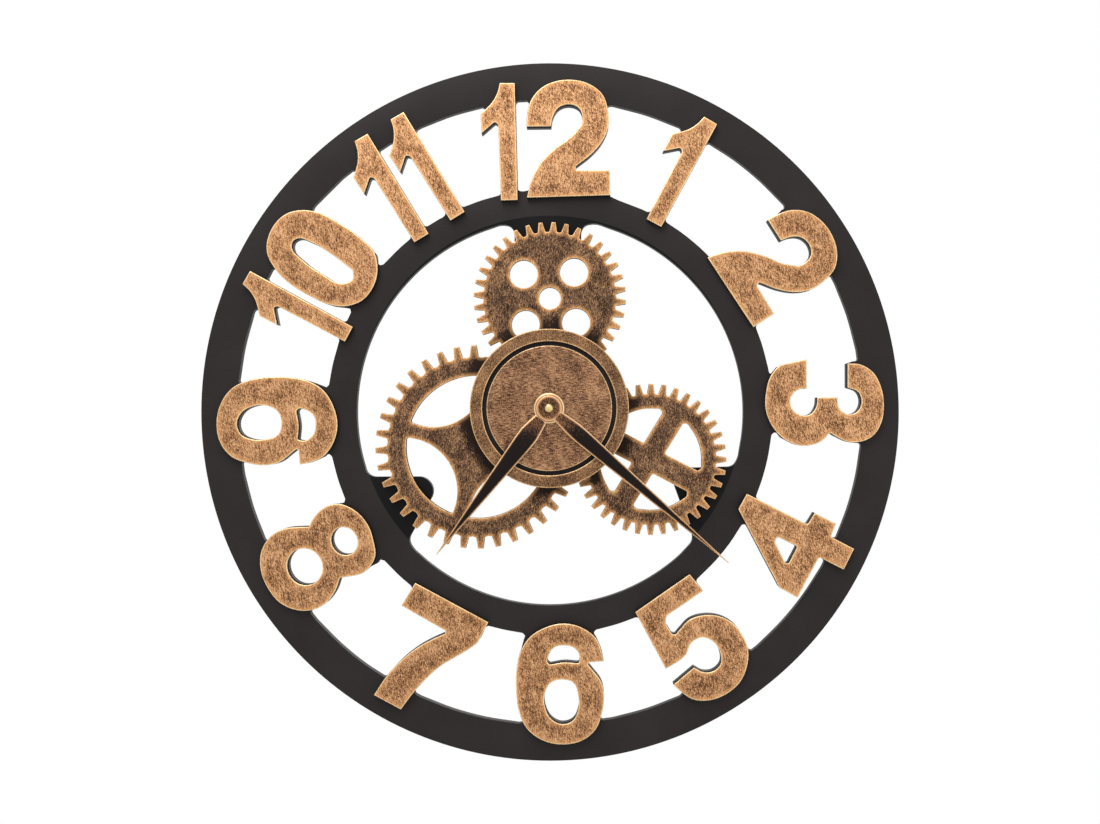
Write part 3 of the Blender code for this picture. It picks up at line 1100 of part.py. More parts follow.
def make_hanger(frame):
    """The steel keyhole plate let into the back of the outer ring, with its two screws."""
    at = (0.0, DIAL_DROP)
    half = HANGER_WIDE / 2
    high = HANGER_HIGH / 2
    keyhole = arc((0.0, -KEYHOLE_LONG), KEYHOLE_R, KEYHOLE_LEAN, 360 - KEYHOLE_LEAN, SMALL_SIDES)
    keyhole += arc((0.0, 0.0), KEYHOLE_SLOT_R, -90, 90, TRAIN_SIDES)
    screw_spots = ((-HANGER_SCREW_APART / 2, 0.0), (HANGER_SCREW_APART / 2, 0.0))
    loops = [[(-half, -high), (half, -high), (half, high), (-half, high)], keyhole]
    hanger = plate("hanger_plate", loops, HANGER_THICK, at, SEAT_GAP)
    paint(hanger, STEEL)
    fit = SEAT_GAP
    pocket_front = SEAT_GAP + HANGER_THICK + SEAT_GAP
    cut(frame, block("hanger_pocket", (-half - fit, DIAL_DROP - high - fit, -PAST),
                     (half + fit, DIAL_DROP + high + fit, pocket_front), False))
    nail = KEYHOLE_R + OVERLAP
    cut(frame, block("nail_pocket", (-nail, DIAL_DROP - KEYHOLE_LONG - nail, -PAST),
                     (nail, DIAL_DROP + nail, pocket_front + NAIL_POCKET_DEEP - HANGER_THICK), False))
    for (dx, dy), word in zip(screw_spots, ("left", "right")):
        spot = (at[0] + dx, at[1] + dy)
        name = "hanger_screw_" + word
        front = FRAME_THICK - HANGER_THICK
        bore, seat = screw_hole(name, spot, 0.0, HANGER_SCREW_HEAD_R, HANGER_SCREW_HEAD, TAB_SCREW_R, front)
        cut(hanger, rod(name + "_clear", HANGER_SCREW_HEAD_R + SCREW_CLEARANCE, HANGER_THICK + 2 * PAST, spot,
                        SEAT_GAP - PAST, SCREW_SIDES, False))
        cut(frame, bore)
        screw(name, spot, SEAT_GAP + HANGER_SCREW_SINK, HANGER_SCREW_HEAD_R, HANGER_SCREW_HEAD, TAB_SCREW_R,
              front - SEAT_GAP)


FRAME = make_frame()
make_hanger(FRAME)
make_numerals()
GEARS = make_gears()
fasten_gears(FRAME, GEARS)
make_hub(GEARS)
PLACES = make_train()
make_case(PLACES)
make_electrics(PLACES[1])
make_hands()
make_centre_stack()
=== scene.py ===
"""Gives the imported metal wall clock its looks.

The CAD plates are rebuilt with smooth outlines, softly rounded edges and an attribute that holds the distance
in from the edge, and the hands are pressed shapes. The other CAD pieces get a material each, and broken edges
too unless they lie in the movement's case.
"""

import math

import bmesh
import bpy
import numpy as np
from bpy.props import FloatProperty, FloatVectorProperty, PointerProperty
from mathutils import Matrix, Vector
from mathutils.geometry import delaunay_2d_cdt


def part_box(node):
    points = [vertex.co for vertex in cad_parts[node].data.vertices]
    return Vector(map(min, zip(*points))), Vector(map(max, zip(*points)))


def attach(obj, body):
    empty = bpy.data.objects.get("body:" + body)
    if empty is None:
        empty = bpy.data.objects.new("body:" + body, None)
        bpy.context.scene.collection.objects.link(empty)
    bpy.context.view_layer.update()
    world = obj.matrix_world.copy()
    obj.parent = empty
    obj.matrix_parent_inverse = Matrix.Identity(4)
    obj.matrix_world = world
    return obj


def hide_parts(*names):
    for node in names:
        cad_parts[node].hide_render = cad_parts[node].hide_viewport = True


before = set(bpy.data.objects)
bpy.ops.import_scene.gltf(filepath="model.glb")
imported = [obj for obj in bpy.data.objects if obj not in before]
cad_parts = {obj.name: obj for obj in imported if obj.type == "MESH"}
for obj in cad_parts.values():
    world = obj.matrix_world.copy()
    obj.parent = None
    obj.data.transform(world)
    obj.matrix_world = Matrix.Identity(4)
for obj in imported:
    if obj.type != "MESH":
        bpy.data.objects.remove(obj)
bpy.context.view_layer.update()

bl_info = {
    "name": "Metal wall clock",
    "version": (1, 0, 0),
    "blender": (4, 5, 0),
    "location": "View3D > Sidebar > Wall clock",
    "description": "Dresses a packed openwork wall clock: plates, gears, numerals, hub, hands and movement",
    "category": "Object",
}

MM = 0.001
SAME_POINT = 1e-5  # points nearer to each other than this are one point
NUMERALS = ["numeral_%d" % n for n in range(1, 10)] + [
    "numeral_10_one", "numeral_10_zero", "numeral_11_first", "numeral_11_second", "numeral_12_one",
    "numeral_12_two"]
GEARS = ["gear_top", "gear_left", "gear_right"]

# How an outline is read, by the angle that it turns through at a point
STRAIGHT_ON = math.radians(0.2)  # up to this the point lies on a straight side
CORNER = math.radians(34)  # more than this at a lone point is a real corner
SHARP = math.radians(64)  # and more than this is one anywhere
DOUBLES_BACK = math.radians(138)  # at more than this the outline doubles back
HELPING = 0.45  # a neighbour that turns this share of a point's own turn carries on its curve
STRAIGHT = 2.2  # a side this many times longer than the next one is a straight run, not part of a curve
STRAIGHT_AT_CORNER = 1.45 * STRAIGHT  # the same where the outline turns by more than a corner does

# How an outline is drawn again
USUAL_ROUNDING = 1.6 * MM  # radius of corners that point into a plate
INNER_ROUNDING = {"numeral_10_zero": 6 * MM}  # the same where it isn't the usual one
ARC_SHARE = 0.45  # such an arc takes no more than this share of a side
WIDEST_HALF_TURN = 1.2  # radians
MITRE_LIMIT = 0.35  # a mitre's least divisor, which keeps very sharp corners from reaching far in
CURVE_STEPS = 4  # parts of a cubic
ROUND_STEPS = 4  # parts of a rounded edge

# How a plate is built up
FIELD = 2.2 * MM  # spacing of the points inside a plate that hold their distance from its edge
FIELD_ROWS = 0.87  # spacing of their rows, as a share of it
FIELD_MARGIN = 0.3  # how far they keep from the edge, as a share of it
BACK_CHAMFER = 0.4  # width of the back edges' chamfer, as a share of the front edges' radius
SIDE_END = 1.15  # where the side ends below the front, in radii of the front edges
BORDER_ROWS = (0.75, 1.0)  # where the border's points lie, as shares of its width
SIDE = -1.0  # what the distance attribute holds on sides
BACK = -2.0  # and on backs

# The triangles that fill a cap
TRIANGLES_INSIDE = 1  # only those within the outlines
CAP_MERGE = 1e-9  # points nearer to each other than this are one there


def span(node):
    """A CAD node's lowest and highest corner as arrays."""
    low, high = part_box(node)
    return np.array(low), np.array(high)


HUB = sum(span("hub_disc")) / 2  # on the dial's axis
FRAME_LOW, FRAME_HIGH = span("dial_frame")


# Meshes


def triangles_of(node):
    """Merged corner points and triangles of a CAD node, whose own mesh is loose triangles."""
    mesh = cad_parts[node].data
    mesh.calc_loop_triangles()
    points = np.empty(len(mesh.vertices) * 3, np.float32)
    mesh.vertices.foreach_get("co", points)
    faces = np.empty(len(mesh.loop_triangles) * 3, np.int32)
    mesh.loop_triangles.foreach_get("vertices", faces)
    grid = np.round(points.reshape(-1, 3).astype(float) / SAME_POINT).astype(np.int64)
    _, first, where = np.unique(grid, axis=0, return_index=True, return_inverse=True)
    faces = where.ravel()[faces].reshape(-1, 3)
    whole = (faces[:, 0] != faces[:, 1]) & (faces[:, 1] != faces[:, 2]) & (faces[:, 2] != faces[:, 0])
    return points.reshape(-1, 3).astype(float)[first], faces[whole]


def outlines(points, faces, y):
    """The closed outlines of the faces that lie flat at depth y, each an array of x and z in order.

    An edge that only one of those faces uses is on an outline, and each outline follows such edges from end
    to end."""
    flat = faces[(np.abs(points[faces][:, :, 1] - y) < 2 * SAME_POINT).all(axis=1)]
    edges = np.vstack([flat[:, [0, 1]], flat[:, [1, 2]], flat[:, [2, 0]]])
    used = {tuple(edge) for edge in edges.tolist()}
    following = {a: b for a, b in used if (b, a) not in used}
    loops = []
    while following:
        start, here = following.popitem()
        loop = [start]
        while here != start:
            loop.append(here)
            here = following.pop(here)
        loops.append(points[loop][:, [0, 2]])
    return loops


def turns(loop):
    """Length and unit direction of each side of an outline, and the angle that it turns by at each point."""
    sides = np.roll(loop, -1, axis=0) - loop
    length = np.maximum(np.hypot(sides[:, 0], sides[:, 1]), 1e-12)
    along = sides / length[:, None]
    before = np.roll(along, 1, axis=0)
    cross = before[:, 0] * along[:, 1] - before[:, 1] * along[:, 0]
    return length, along, np.arctan2(cross, (before * along).sum(axis=1))


def tidied(loop):
    """An outline without the points that lie on their neighbour or on a straight side, and without those
    where it doubles back on itself, the worst of them first."""
    loop = loop[turns(loop)[0] > 5 * SAME_POINT]
    loop = loop[np.abs(turns(loop)[2]) > STRAIGHT_ON]
    worst = np.abs(turns(loop)[2])
    while worst.max() > DOUBLES_BACK:
        loop = np.delete(loop, worst.argmax(), axis=0)
        worst = np.abs(turns(loop)[2])
    return loop


def corners_of(turn):
    """Which points of an outline are real corners: sharp ones, and lesser ones where neither neighbour helps
    to turn the same way."""
    size = np.abs(turn)
    sharp = size > SHARP
    helped = np.zeros(len(turn), bool)
    for step in (1, -1):
        other = np.roll(turn, step)
        helped |= (other * turn > 0) & (np.abs(other) > HELPING * size) & ~np.roll(sharp, step)
    return sharp | ((size > CORNER) & ~helped)


def eased_inside(loop, radius):
    """An outline whose sharp corners that point into the material are arcs: each such point makes way for
    the arc's two ends and its middle."""
    length, along, turn = turns(loop)
    half = np.abs(turn) / 2
    longest = ARC_SHARE * np.minimum(length, np.roll(length, 1))
    reach = np.minimum(radius * np.tan(np.minimum(half, WIDEST_HALF_TURN)), longest)
    start = loop - np.roll(along, 1, axis=0) * reach[:, None]
    end = loop + along * reach[:, None]
    middle = loop + (0.5 * (start + end) - loop) / (1 + np.cos(half))[:, None]
    eased = np.stack([start, middle, end], axis=1)
    keep = np.ones((len(loop), 3), bool)
    plain = turn > -SHARP
    eased[plain, 0] = loop[plain]
    keep[plain, 1:] = False
    return eased[keep]


def smoothed(loop):
    """An outline whose curves are smooth: cubic pieces between its points, straight where it is straight.

    At a point of a curve the direction is that of the circle through it and its two neighbours, next to a
    long side it is that side's, and at a corner each side keeps its own. Each cubic has its end points and
    end directions: with t from 0 to 1 along the side, it is (2 t cubed - 3 t squared + 1) times the start,
    plus (t cubed - 2 t squared + t) times the side's length along the leaving direction, plus (3 t squared -
    2 t cubed) times the end, plus (t cubed - t squared) times that length along the arriving direction."""
    length, along, turn = turns(loop)
    before, after = np.roll(length, 1), length
    came = np.roll(along, 1, axis=0)
    round_way = came * after[:, None] + along * before[:, None]
    round_way = round_way / np.hypot(round_way[:, 0], round_way[:, 1])[:, None]
    limit = np.where(np.abs(turn) < CORNER, STRAIGHT, STRAIGHT_AT_CORNER)
    round_way = np.where((before > limit * after)[:, None], came, round_way)
    round_way = np.where((after > limit * before)[:, None], along, round_way)
    corner = corners_of(turn)[:, None]
    leaving = np.where(corner, along, round_way)
    arriving = np.roll(np.where(corner, came, round_way), -1, axis=0)
    t = (np.arange(CURVE_STEPS) / CURVE_STEPS)[None, :, None]
    start, end = loop[:, None, :], np.roll(loop, -1, axis=0)[:, None, :]
    pull = length[:, None, None]
    cubic = ((2 * t ** 3 - 3 * t ** 2 + 1) * start + (t ** 3 - 2 * t ** 2 + t) * leaving[:, None, :] * pull
             + (3 * t ** 2 - 2 * t ** 3) * end + (t ** 3 - t ** 2) * arriving[:, None, :] * pull)
    return cubic.reshape(-1, 2)


def inset_way(loop):
    """At each point of an outline the way into the material, to the left of its run, lengthened at corners
    so that both sides move in by one: the sum of both sides' unit normals over one plus their dot
    product."""
    _, along, _ = turns(loop)
    left = np.column_stack([-along[:, 1], along[:, 0]])
    before = np.roll(left, 1, axis=0)
    mitre = left + before
    return mitre / np.maximum((1 + (left * before).sum(axis=1))[:, None], MITRE_LIMIT)


def grid_faces(rows, columns, close_rows, close_columns):
    """Four-sided faces of a grid of points, closed round along either way."""
    r = np.arange(rows if close_rows else rows - 1)[:, None]
    c = np.arange(columns if close_columns else columns - 1)[None, :]
    next_r, next_c = (r + 1) % rows, (c + 1) % columns
    corners = [r * columns + c, next_r * columns + c, next_r * columns + next_c, r * columns + next_c]
    return np.stack([np.broadcast_to(k, (r.size, c.size)) for k in corners], axis=-1).reshape(-1, 4)


def inside(places, loops):
    """Which places lie in the area between closed outlines: a line from there to the right crosses an odd
    number of sides."""
    start = np.vstack(loops)
    end = np.vstack([np.roll(loop, -1, axis=0) for loop in loops])
    x, z = places[:, :1], places[:, 1:]
    spans = (start[:, 1] > z) != (end[:, 1] > z)
    rise = np.where(end[:, 1] == start[:, 1], 1.0, end[:, 1] - start[:, 1])
    crossing = start[:, 0] + (z - start[:, 1]) * (end[:, 0] - start[:, 0]) / rise
    return (spans & (crossing > x)).sum(axis=1) % 2 == 1


def distance_in(places, loops):
    """The shortest way from each place to the outlines' sides: to the foot of the plumb line on a side, or
    to the side's nearer end."""
    start = np.vstack(loops)
    way = np.vstack([np.roll(loop, -1, axis=0) for loop in loops]) - start
    arm = places[:, None, :] - start[None, :, :]
    share = np.clip((arm * way).sum(axis=2) / np.maximum((way ** 2).sum(axis=1), 1e-18), 0, 1)
    return np.sqrt(((arm - share[:, :, None] * way) ** 2).sum(axis=2)).min(axis=1)


def flat_cap(loops, y, facing_front, inner=None):
    """Triangles that fill the area between closed outlines at depth y, through the inner points if any."""
    points = np.vstack(loops)
    firsts = np.cumsum([0] + [len(loop) for loop in loops])
    edges = [(a, a + 1 if a + 1 < last else first) for first, last in zip(firsts, firsts[1:])
             for a in range(first, last)]
    if inner is not None:
        points = np.vstack([points, inner])
    made = delaunay_2d_cdt([Vector(p) for p in points.tolist()], edges, [], TRIANGLES_INSIDE, CAP_MERGE)
    corners = np.array([tuple(v) for v in made[0]])
    faces = np.array(made[2])
    faces = faces[inside(corners[faces].mean(axis=1), loops)]
    a, b, c = corners[faces[:, 0]], corners[faces[:, 1]], corners[faces[:, 2]]
    size = (b[:, 0] - a[:, 0]) * (c[:, 1] - a[:, 1]) - (b[:, 1] - a[:, 1]) * (c[:, 0] - a[:, 0])
    wrong = (size < 0) if facing_front else (size > 0)
    faces[wrong] = faces[wrong][:, ::-1]
    return np.column_stack([corners[:, 0], np.full(len(corners), y), corners[:, 1]]), faces


def mesh_piece(name, parts, materials, body, node):
    """One object out of parts, each its points, its faces as an array or a list of arrays, and how far in
    from the edge its points lie in millimetres. Faces wholly on sides take the second material, those on
    backs the third."""
    points, faces, values, count = [], [], [], 0
    for part_points, part_faces, part_values in parts:
        points.append(part_points)
        for block in part_faces if isinstance(part_faces, list) else [part_faces]:
            faces.extend((block + count).tolist())
        values.append(np.broadcast_to(part_values, len(part_points)))
        count += len(part_points)
    values = np.concatenate(values).astype(np.float32)
    mesh = bpy.data.meshes.new(name)
    mesh.from_pydata(np.vstack(points).tolist(), [], faces)
    mesh.attributes.new("inward", "FLOAT", "POINT").data.foreach_set("value", values)
    corners = np.empty(len(mesh.loops), np.int32)
    mesh.loops.foreach_get("vertex_index", corners)
    starts = np.empty(len(mesh.polygons), np.int32)
    mesh.polygons.foreach_get("loop_start", starts)
    nearest = np.maximum.reduceat(values[corners], starts)
    places = np.select([nearest < (SIDE + BACK) / 2, nearest < SIDE / 2], [2, 1], 0)
    mesh.polygons.foreach_set("material_index", places.astype(np.int32))
    for material in materials:
        mesh.materials.append(material)
    merge(mesh)
    ridden(name, mesh, body, node)


def placed(name, data):
    """A new object in the scene."""
    thing = bpy.data.objects.new(name, data)
    bpy.context.scene.collection.objects.link(thing)
    return thing


def ridden(name, mesh, body, node):
    """Shades a mesh smooth up to its sharp edges and puts it on its CAD body in place of its node."""
    mesh.shade_smooth()
    mesh.set_sharp_from_angle(angle=CORNER)
    piece = placed(name, mesh)
    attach(piece, body)
    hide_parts(node)
    return piece


def merge(mesh):
    """Joins points that lie on each other, lets faces of no size go and turns all faces outwards."""
    work = bmesh.new()
    work.from_mesh(mesh)
    bmesh.ops.remove_doubles(work, verts=work.verts, dist=SAME_POINT / 5)
    bmesh.ops.dissolve_degenerate(work, edges=work.edges, dist=SAME_POINT / 10)
    bmesh.ops.recalc_face_normals(work, faces=work.faces)
    work.to_mesh(mesh)
    work.free()


# Materials


TAB_SHADE = 160.5 * MM  # within this distance of the dial's axis the frame's coat is painted darker: painted shade of the gears
SHADE_STEP = 0.6 * MM  # how wide the step into it is
ROUGHNESS_OF_GRAIN = 0.65
SCRATCH_WIDTH = 0.5 * MM
CROSSING_LENGTH = 0.7  # of the crossing scratches, as a share of the main ones
BRONZE_WEIGHTS = (2.1, 1.6, 1.3)  # of scratches, crossing scratches and specks in the bronze's tone
HOLLOW_END = 0.35  # where a hollow's darkening ends, as a share of where it begins
BORDER_FULL = 0.2  # where a border has its full strength, as a share of its width
WAVE_RATE = 20  # radians a metre by which a wave of scale 1 advances
CELL_RIM = (2.4 * MM, 2.6 * MM)  # from a battery's end, terminal included, to where its film begins


def linear(hex_colour):
    """A colour written as sRGB hex, as the linear values that a shader takes."""
    srgb = np.array([int(hex_colour[i:i + 2], 16) for i in (1, 3, 5)]) / 255
    light = np.where(srgb <= 0.04045, srgb / 12.92, ((srgb + 0.055) / 1.055) ** 2.4)
    return (*light.tolist(), 1.0)


def add(tree, kind, inputs=None, **settings):
    """Adds a node with its settings; each input is given a value, or linked if it is given a socket."""
    node = tree.nodes.new(kind)
    for name, value in settings.items():
        setattr(node, name, value)
    for name, value in (inputs or {}).items():
        if isinstance(value, bpy.types.NodeSocket):
            tree.links.new(value, node.inputs[name])
        else:
            node.inputs[name].default_value = value
    return node


def new_material(name):
    """A material without nodes yet, and its tree."""
    material = bpy.data.materials.new(name)
    material.use_nodes = True
    material.node_tree.nodes.clear()
    return material, material.node_tree


def surface(tree, inputs):
    """The Principled shader with its inputs, joined to the material's output."""
    shader = add(tree, "ShaderNodeBsdfPrincipled", inputs)
    add(tree, "ShaderNodeOutputMaterial", {"Surface": shader.outputs["BSDF"]})


def ramp(tree, factor, stops):
    """A colour ramp on a factor, from pairs of place and hex colour."""
    node = add(tree, "ShaderNodeValToRGB", {"Fac": factor})
    band = node.color_ramp
    for index, (place, colour) in enumerate(stops):
        stop = band.elements[index] if index < 2 else band.elements.new(place)
        stop.position = place
        stop.color = linear(colour)
    return node.outputs["Color"]


def grain(tree, across, along, turn=0.0, detail=2.0):
    """Noise in Object coordinates, drawn out along one way of the dial: sizes in metres, turn in radians."""
    place = add(tree, "ShaderNodeTexCoord").outputs["Object"]
    turned = add(tree, "ShaderNodeMapping", {"Vector": place, "Rotation": (0.0, turn, 0.0)}).outputs["Vector"]
    drawn = add(tree, "ShaderNodeMapping", {"Vector": turned, "Scale": (1 / across, 1 / across, 1 / along)})
    noise = add(tree, "ShaderNodeTexNoise", {"Vector": drawn.outputs["Vector"], "Scale": 1.0,
                                             "Detail": detail, "Roughness": ROUGHNESS_OF_GRAIN})
    return noise.outputs["Fac"]


def maths(tree, operation, *values, **settings):
    """The result of one step of arithmetic on sockets and numbers."""
    return add(tree, "ShaderNodeMath", dict(enumerate(values)), operation=operation, **settings).outputs[0]


def total(tree, *terms):
    """The sum of sockets, each times its weight."""
    sum_so_far = 0.0
    for socket, weight in terms:
        sum_so_far = maths(tree, "MULTIPLY_ADD", socket, weight, sum_so_far)
    return sum_so_far


def ranged(tree, value, to_low, to_high, low=0.0, high=1.0, **settings):
    """A value carried from one pair of limits to another, in proportion unless the settings say otherwise."""
    limits = {"Value": value, "From Min": low, "From Max": high, "To Min": to_low, "To Max": to_high}
    return add(tree, "ShaderNodeMapRange", limits, **settings).outputs["Result"]


def eased(tree, value, low, high, to_low, to_high):
    """A value's smooth step from one pair of limits to another."""
    return ranged(tree, value, to_low, to_high, low, high, interpolation_type="SMOOTHSTEP")


def relief(tree, height, strength, depth):
    """The normals of a fine relief, its depth in metres."""
    bump = add(tree, "ShaderNodeBump", {"Height": height, "Strength": strength, "Distance": depth})
    return bump.outputs["Normal"]


def mixed(tree, share, first, second):
    """Two colours mixed by a share from 0 to 1."""
    mix = add(tree, "ShaderNodeMixRGB", {"Fac": share, "Color1": first, "Color2": second})
    return mix.outputs["Color"]


def from_hub(tree):
    """How far a point lies from the dial's axis, in metres."""
    place = add(tree, "ShaderNodeTexCoord").outputs["Object"]
    arm = add(tree, "ShaderNodeVectorMath", {0: place, 1: tuple(HUB)}, operation="SUBTRACT").outputs[0]
    flat = add(tree, "ShaderNodeVectorMath", {0: arm, 1: (1.0, 0.0, 1.0)}, operation="MULTIPLY").outputs[0]
    return add(tree, "ShaderNodeVectorMath", {0: flat}, operation="LENGTH").outputs["Value"]


def antique_bronze(name, colours, turn, streak, patina, lift, contrast=1.0, spread=33, band=4.0,
                   hollow=(0.0, 5.0), rings=()):
    """Bronze leaf lacquer rubbed through by hand with steel wool: short bright scratches that run mostly one
    way over a dark ground, darker clouds where the wool did not press, a warm border where it caught the
    edges, and a bright line along the edge itself, partly wear and partly a painted highlight.

    Colours are dark, middle, light, border and edge. Turn is the scratches' direction in degrees from
    upright, spread how far the crossing ones differ from it, and streak their length. Patina is the clouds'
    weight, lift raises the tone and contrast widens it. Band is the border's width in millimetres. Hollow is
    how much darker it is away from the edges, and from how many millimetres in. Each ring is (from, to, tone
    there, tone beyond) by distance from the dial's axis. Real scratches are about 0.1 mm wide. The widest
    drawn here are five times coarser, so that they show, with finer ones in them."""
    material, tree = new_material(name)
    inward = add(tree, "ShaderNodeAttribute", attribute_name="inward").outputs["Fac"]
    way = math.radians(turn)
    scratch = grain(tree, SCRATCH_WIDTH, streak, way, detail=4.0)
    crossing = grain(tree, SCRATCH_WIDTH, CROSSING_LENGTH * streak, way + math.radians(spread), detail=4.0)
    speck = grain(tree, 0.9 * MM, 1.1 * MM)
    cloud = grain(tree, 14 * MM, 20 * MM, turn=0.4)
    weights = [contrast * weight for weight in BRONZE_WEIGHTS] + [patina]
    tone = total(tree, *zip((scratch, crossing, speck, cloud), weights))
    tone = maths(tree, "ADD", tone, lift - 0.5 * sum(weights))
    depth, reach = hollow
    tone = total(tree, (tone, 1.0), (eased(tree, inward, reach, HOLLOW_END * reach, -depth, 0.0), 1.0))
    # a ring shifts the tone by distance from the axis; on the gears it is a painted shadow of the hub
    for near, far, low, high in rings:
        tone = total(tree, (tone, 1.0), (eased(tree, from_hub(tree), near, far, low, high), 1.0))
    tone = add(tree, "ShaderNodeClamp", {"Value": tone}).outputs["Result"]
    dark, middle, light, border, edge = colours
    rubbed = ramp(tree, tone, [(0.0, dark), (1.0, light), (0.5, middle)])
    patchy = eased(tree, tone, 0.1, 0.9, 0.4, 0.85)
    near_edge = eased(tree, inward, band, BORDER_FULL * band, 0.0, 1.0)
    bordered = mixed(tree, maths(tree, "MULTIPLY", patchy, near_edge), rubbed, linear(border))
    # the bright line along the edge: wear on the rubbed edges and partly a painted highlight
    wear_and_highlight = maths(tree, "MULTIPLY", eased(tree, inward, 1.0, 0.15, 0.0, 0.6),
                 eased(tree, tone, 0.0, 0.8, 0.6, 1.5), use_clamp=True)
    lined = mixed(tree, wear_and_highlight, bordered, linear(edge))
    surface(tree, {"Base Color": lined, "Metallic": 0.85, "Roughness": ranged(tree, tone, 0.6, 0.36),
                   "Normal": relief(tree, tone, strength=0.3, depth=0.08 * MM)})
    return material


def with_dark_sides(front):
    """A plate's three materials: its front, its cut sides and its back."""
    return [front, matt_ground(), black_paint()]


def matt_ground():
    """The dark ground lacquer under the bronze, as it dried on the cut sides: matt, a little uneven. All
    bronze pieces share it."""
    name = "matt_black_ground_lacquer"
    if name in bpy.data.materials:
        return bpy.data.materials[name]
    material, tree = new_material(name)
    speck = grain(tree, 1.2 * MM, 1.2 * MM)
    colour = ramp(tree, speck, [(0.3, "#0A0908"), (0.7, "#151210")])
    surface(tree, {"Base Color": colour, "Roughness": 0.85, "Specular IOR Level": 0.08,
                   "Normal": relief(tree, speck, strength=0.3, depth=0.05 * MM)})
    return material


def black_paint(name="satin_black_powder_coat", shaded_within=0.0):
    """Satin black powder coat on cut plates and on all backs, baked on: a fine orange peel of about 1.5 mm
    breaks the gloss. Nearer to the dial's axis than shaded_within it is painted a deeper black: painted
    shade, which stands in for the gears' shade on the tabs behind them."""
    if name in bpy.data.materials:
        return bpy.data.materials[name]
    material, tree = new_material(name)
    peel = grain(tree, 1.5 * MM, 1.5 * MM)
    cloud = grain(tree, 60 * MM, 60 * MM)
    tone = total(tree, (peel, 0.35), (cloud, 0.65))
    colour = ramp(tree, tone, [(0.3, "#252120"), (0.7, "#302B2A")])
    if shaded_within:
        shade = eased(tree, from_hub(tree), shaded_within - SHADE_STEP, shaded_within, 1.0, 0.0)
        colour = mixed(tree, shade, colour, linear("#060606"))
    surface(tree, {"Base Color": colour, "Roughness": ranged(tree, cloud, 0.42, 0.56),
                   "Specular IOR Level": 0.14, "Normal": relief(tree, peel, strength=0.25, depth=0.05 * MM)})
    return material


def drawn_metal(name, low, high, rough, across=0.25 * MM, along=6 * MM):
    """Rolled, turned or pressed metal, plated or bare: faint lines in colour and gloss."""
    material, tree = new_material(name)
    lines = grain(tree, across, along, detail=3.0)
    cloud = grain(tree, 5 * MM, 7 * MM, turn=0.3)
    tone = total(tree, (lines, 0.6), (cloud, 0.4))
    colour = ramp(tree, tone, [(0.3, low), (0.7, high)])
    gloss = ranged(tree, tone, rough + 0.08, rough - 0.06, 0.3, 0.7)
    surface(tree, {"Base Color": colour, "Metallic": 1.0, "Roughness": gloss,
                   "Normal": relief(tree, lines, strength=0.2, depth=0.02 * MM)})
    return material


def moulded(name, low, high, rough, texture):
    """Injection-moulded plastic: one colour all through, with the fine spark-eroded texture of its mould,
    whose grit size is given."""
    material, tree = new_material(name)
    grit = grain(tree, texture, texture)
    flow = grain(tree, 9 * MM, 30 * MM, turn=0.5)
    colour = ramp(tree, flow, [(0.25, low), (0.75, high)])
    surface(tree, {"Base Color": colour, "Roughness": ranged(tree, grit, rough - 0.07, rough + 0.07),
                   "Normal": relief(tree, grit, strength=0.3, depth=0.04 * MM)})
    return material


def sleeved_cell(name, film, film_light, steel, centre, half_length):
    """A round battery cell: a plain dark film shrunk over a steel can, which leaves its two ends bare, each
    with a narrow rim."""
    material, tree = new_material(name)
    place = add(tree, "ShaderNodeTexCoord").outputs["Object"]
    along = add(tree, "ShaderNodeSeparateXYZ", {"Vector": place}).outputs["X"]
    away = maths(tree, "ABSOLUTE", maths(tree, "SUBTRACT", along, centre))
    outer, inner = CELL_RIM
    bare = eased(tree, away, half_length - inner, half_length - outer, 0.0, 1.0)
    wrinkle = grain(tree, 1.5 * MM, 6 * MM)
    colour = mixed(tree, bare, ramp(tree, wrinkle, [(0.3, film), (0.7, film_light)]), linear(steel))
    surface(tree, {"Base Color": colour, "Metallic": bare, "Roughness": 0.3,
                   "Normal": relief(tree, wrinkle, strength=0.15, depth=0.05 * MM)})
    return material


def banded(name, low, high, across, metallic, rough):
    """Something laid in even lines, such as a copper winding turn by turn or the weave of a glass-cloth
    board: a wave of the given pitch in colour and height."""
    material, tree = new_material(name)
    place = add(tree, "ShaderNodeTexCoord").outputs["Object"]
    wave = add(tree, "ShaderNodeTexWave", {"Vector": place, "Scale": math.tau / WAVE_RATE / across,
                                           "Distortion": 0.6, "Detail": 1.0, "Detail Scale": 2.0},
               wave_type="BANDS", bands_direction="Z").outputs["Fac"]
    colour = ramp(tree, wave, [(0.1, low), (0.8, high)])
    surface(tree, {"Base Color": colour, "Metallic": metallic, "Roughness": rough,
                   "Normal": relief(tree, wave, strength=0.5, depth=0.05 * MM)})
    return material


# Shapes


FLAT = math.radians(1)  # faces that meet at less than this are one face
HUB_SIDES = 96
HUB_BORE = {"hour": 2.7 * MM, "minute": 1.5 * MM}  # radius
DISH_FLOOR = (0.35, 6.0)  # depth and distance from the edge at a hub's bore, as in the list below

# Across a hand's hub from its dish to its rim and back: radius as a share of the hub's, depth behind the
# hand's front as a share of its thickness, and what the distance attribute holds
HUB_DISH = ((0.52, *DISH_FLOOR), (0.66, 0.3, 5.0), (0.76, 0.1, 1.6), (0.88, 0.0, 0.8), (0.95, 0.12, 0.2),
            (0.985, 0.38, 0.3), (1.0, 0.7, SIDE), (1.0, 1.0, SIDE))

